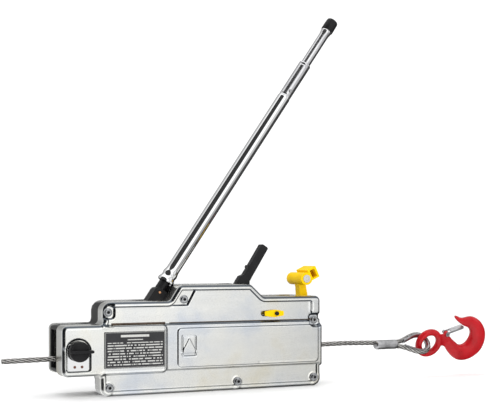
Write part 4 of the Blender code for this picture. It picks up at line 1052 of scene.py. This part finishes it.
def ferrule():
    length = FERRULE_X[1] - FERRULE_X[0]
    r = FERRULE_RADIUS
    place = Matrix.Translation((FERRULE_X[0], 0.0, FERRULE_Z)) @ Matrix.Rotation(math.pi / 2, 4, "Y")
    profile = [(0.0, length), (0.0070, length), (0.0092, length - 0.0006), (0.0108, length - 0.0024)]
    profile += [(r, length - 0.0052), (r, length - 0.012), (r * 0.992, length - 0.013)]
    profile += [(r * 0.992, length - 0.030), (r, length - 0.031), (r, 0.0052)]
    profile += [(0.0108, 0.0024), (0.0092, 0.0006), (0.0070, 0.0), (0.0, 0.0)]
    made = turned(profile, "ferrule_sleeve", place, 56)
    return piece(made, "ferrule_sleeve", GALVANISED, "bare_steel", "rope_unit", ["ferrule"])


def thimble():
    """A rolled channel that the rope's eye sits in."""
    seat = ROPE_RADIUS + 0.0003
    floor_at, wall, lip = seat + 0.0022, 0.0017, 0.0012
    half = []
    for k in range(7):
        angle = math.pi / 2 * k / 6
        half.append((-floor_at * math.cos(angle * 0.9), -(seat + wall) * math.sin(angle)))
    section = [(d, n) for d, n in half] + [(-lip, -seat - wall), (-lip, -seat)]
    for k in range(6, -1, -1):
        angle = math.pi / 2 * k / 6
        section.append((-seat * math.cos(angle * 0.9), -seat * math.sin(angle)))
    section = section[:-1] + [(-seat, 0.0)]
    mirrored = [(d, -n) for d, n in reversed(section[1:-1])]
    section = section + mirrored
    points = [Vector((x, s)) for x, s in eye_points(28, 48)]
    middle = points[8:-8]
    sections = []
    for k, (x, s) in enumerate(middle):
        run = (middle[min(k + 1, len(middle) - 1)] - middle[max(k - 1, 0)]).normalized()
        outward = Vector((-run.y, run.x))
        sections.append([in_loop(x + d * outward.x, s + d * outward.y, n) for d, n in section])
    made = loft(sections, "thimble_channel")
    return piece(made, "thimble_channel", GALVANISED, "bare_steel", "rope_unit", ["thimble"])


def rope():
    tail_path = [on_rope(LEFT_X), on_rope(TAIL_X)]
    tail, line, groove_shade = stranded(tail_path, "rope_tail_strands")
    rope_piece(tail, groove_shade, "rope_tail_strands", WIRE, "rope_steel", "rope_unit", ["rope_tail"], 50.0)
    tuple(line[0])
    length_of(line)
    [tuple(p) for p in line]
    eye = [in_loop(x, -s) for x, s in eye_points(28, 48)]
    lead_path = [on_rope(RIGHT_X), on_rope(LEAD_BEND_X), in_loop(FERRULE_X[0], -LEG)] + eye
    lead, line, groove_shade = stranded(lead_path, "rope_lead_strands", 0.6)
    stood_for = ["rope_lead", "rope_eye"]
    rope_piece(lead, groove_shade, "rope_lead_strands", WIRE, "rope_steel", "rope_unit", stood_for, 50.0)
    fittings = [ferrule(), thimble()]
    tuple(line[0])
    length_of(line)
    [tuple(p) for p in line]


def spline(values, share, k):
    """Catmull-Rom between entries k and k + 1 of a list of tuples."""
    last = len(values) - 1
    a, b, c, d = (values[min(max(i, 0), last)] for i in (k - 1, k, k + 1, k + 2))
    made = []
    for p, q, r, s in zip(a, b, c, d):
        square, cube = 2 * p - 5 * q + 4 * r - s, 3 * q - p - 3 * r + s
        made.append(0.5 * (2 * q + (r - p) * share + square * share**2 + cube * share**3))
    return made


def hook():
    """Eye, shank, bowl and beak blended into one forging."""
    ribs = [(*edges, thickness) for edges, thickness in HOOK_RIBS]
    steps, sides = 3, 20
    sections = []
    for k in range(len(ribs) - 1):
        for j in range(steps + (1 if k == len(ribs) - 2 else 0)):
            ox, oz, ix, iz, thick = spline(ribs, j / steps, k)
            outer, inner = Vector((ox, 0.0, oz)), Vector((ix, 0.0, iz))
            middle, reach = (outer + inner) / 2, (outer - inner) / 2
            ring = []
            for s in range(sides):
                angle = 2 * math.pi * s / sides
                u, v = math.cos(angle), math.sin(angle)
                blunt = (abs(u) ** 2.4 + abs(v) ** 2.4) ** (-1 / 2.4)
                ring.append(middle + reach * (u * blunt) + Vector((0.0, thick * v * blunt, 0.0)))
            sections.append(ring)
    work = bmesh.new()
    rings_to_bmesh(work, sections)
    around, across = 64, 20
    rings = []
    for i in range(around):
        a = 2 * math.pi * i / around
        ring = []
        for j in range(across):
            b = 2 * math.pi * j / across
            r = HOOK_RING + HOOK_BAR * math.cos(b)
            ring.append(work.verts.new((r * math.cos(a), HOOK_BAR * math.sin(b), r * math.sin(a))))
        rings.append(ring)
    for ring, following in zip(rings, rings[1:] + rings[:1]):
        for j in range(across):
            after = (j + 1) % across
            work.faces.new((ring[j], ring[after], following[after], following[j]))
    px, pz = LATCH_PIVOT
    angles = [2 * math.pi * k / 28 for k in range(28)]
    rings_to_bmesh(work, [
        [(px + LUG_RADIUS * math.cos(a), y, pz + LUG_RADIUS * math.sin(a)) for a in angles]
        for y in (-LUG_HALF, LUG_HALF)
    ])
    web = bmesh.ops.create_cube(work, size=1.0)["verts"]
    size = Matrix.Diagonal((0.016, 2 * LUG_HALF, 0.014, 1.0))
    bmesh.ops.transform(work, matrix=Matrix.Translation((px - 0.002, 0.0, pz - 0.009)) @ size, verts=web)
    bmesh.ops.recalc_face_normals(work, faces=work.faces)
    bmesh.ops.transform(
        work, matrix=Matrix.Translation(HOOK_EYE) @ Matrix.Rotation(HOOK_TILT, 4, "X"), verts=work.verts
    )
    made = from_bmesh(work, "hook_forging")
    fuse = made.modifiers.new("fuse", "REMESH")
    fuse.mode = "VOXEL"
    fuse.voxel_size = 0.0012
    fuse.use_smooth_shade = True
    blend = made.modifiers.new("blend", "SMOOTH")
    blend.factor = 0.5
    blend.iterations = 8
    graph = bpy.context.evaluated_depsgraph_get()
    graph.update()
    made.data = bpy.data.meshes.new_from_object(made.evaluated_get(graph))
    made.modifiers.clear()
    piece(made, "hook_forging", RED, "red_paint", "hook_unit", ["hook"], 80.0)
    softened("hook_latch", "hook_latch_folded", GALVANISED, "bare_steel", "latch_unit", 0.0005, 2)


# ---------------------------------------------------------------- the scene
rope()
dress_frame()
floor()
casing()
bolts()
seams()
plates()
handle()
levers()
knob()
hook()

boxes = [CAD_BOX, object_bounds()]
[[[float(v) for v in corner] for corner in box] for box in boxes]
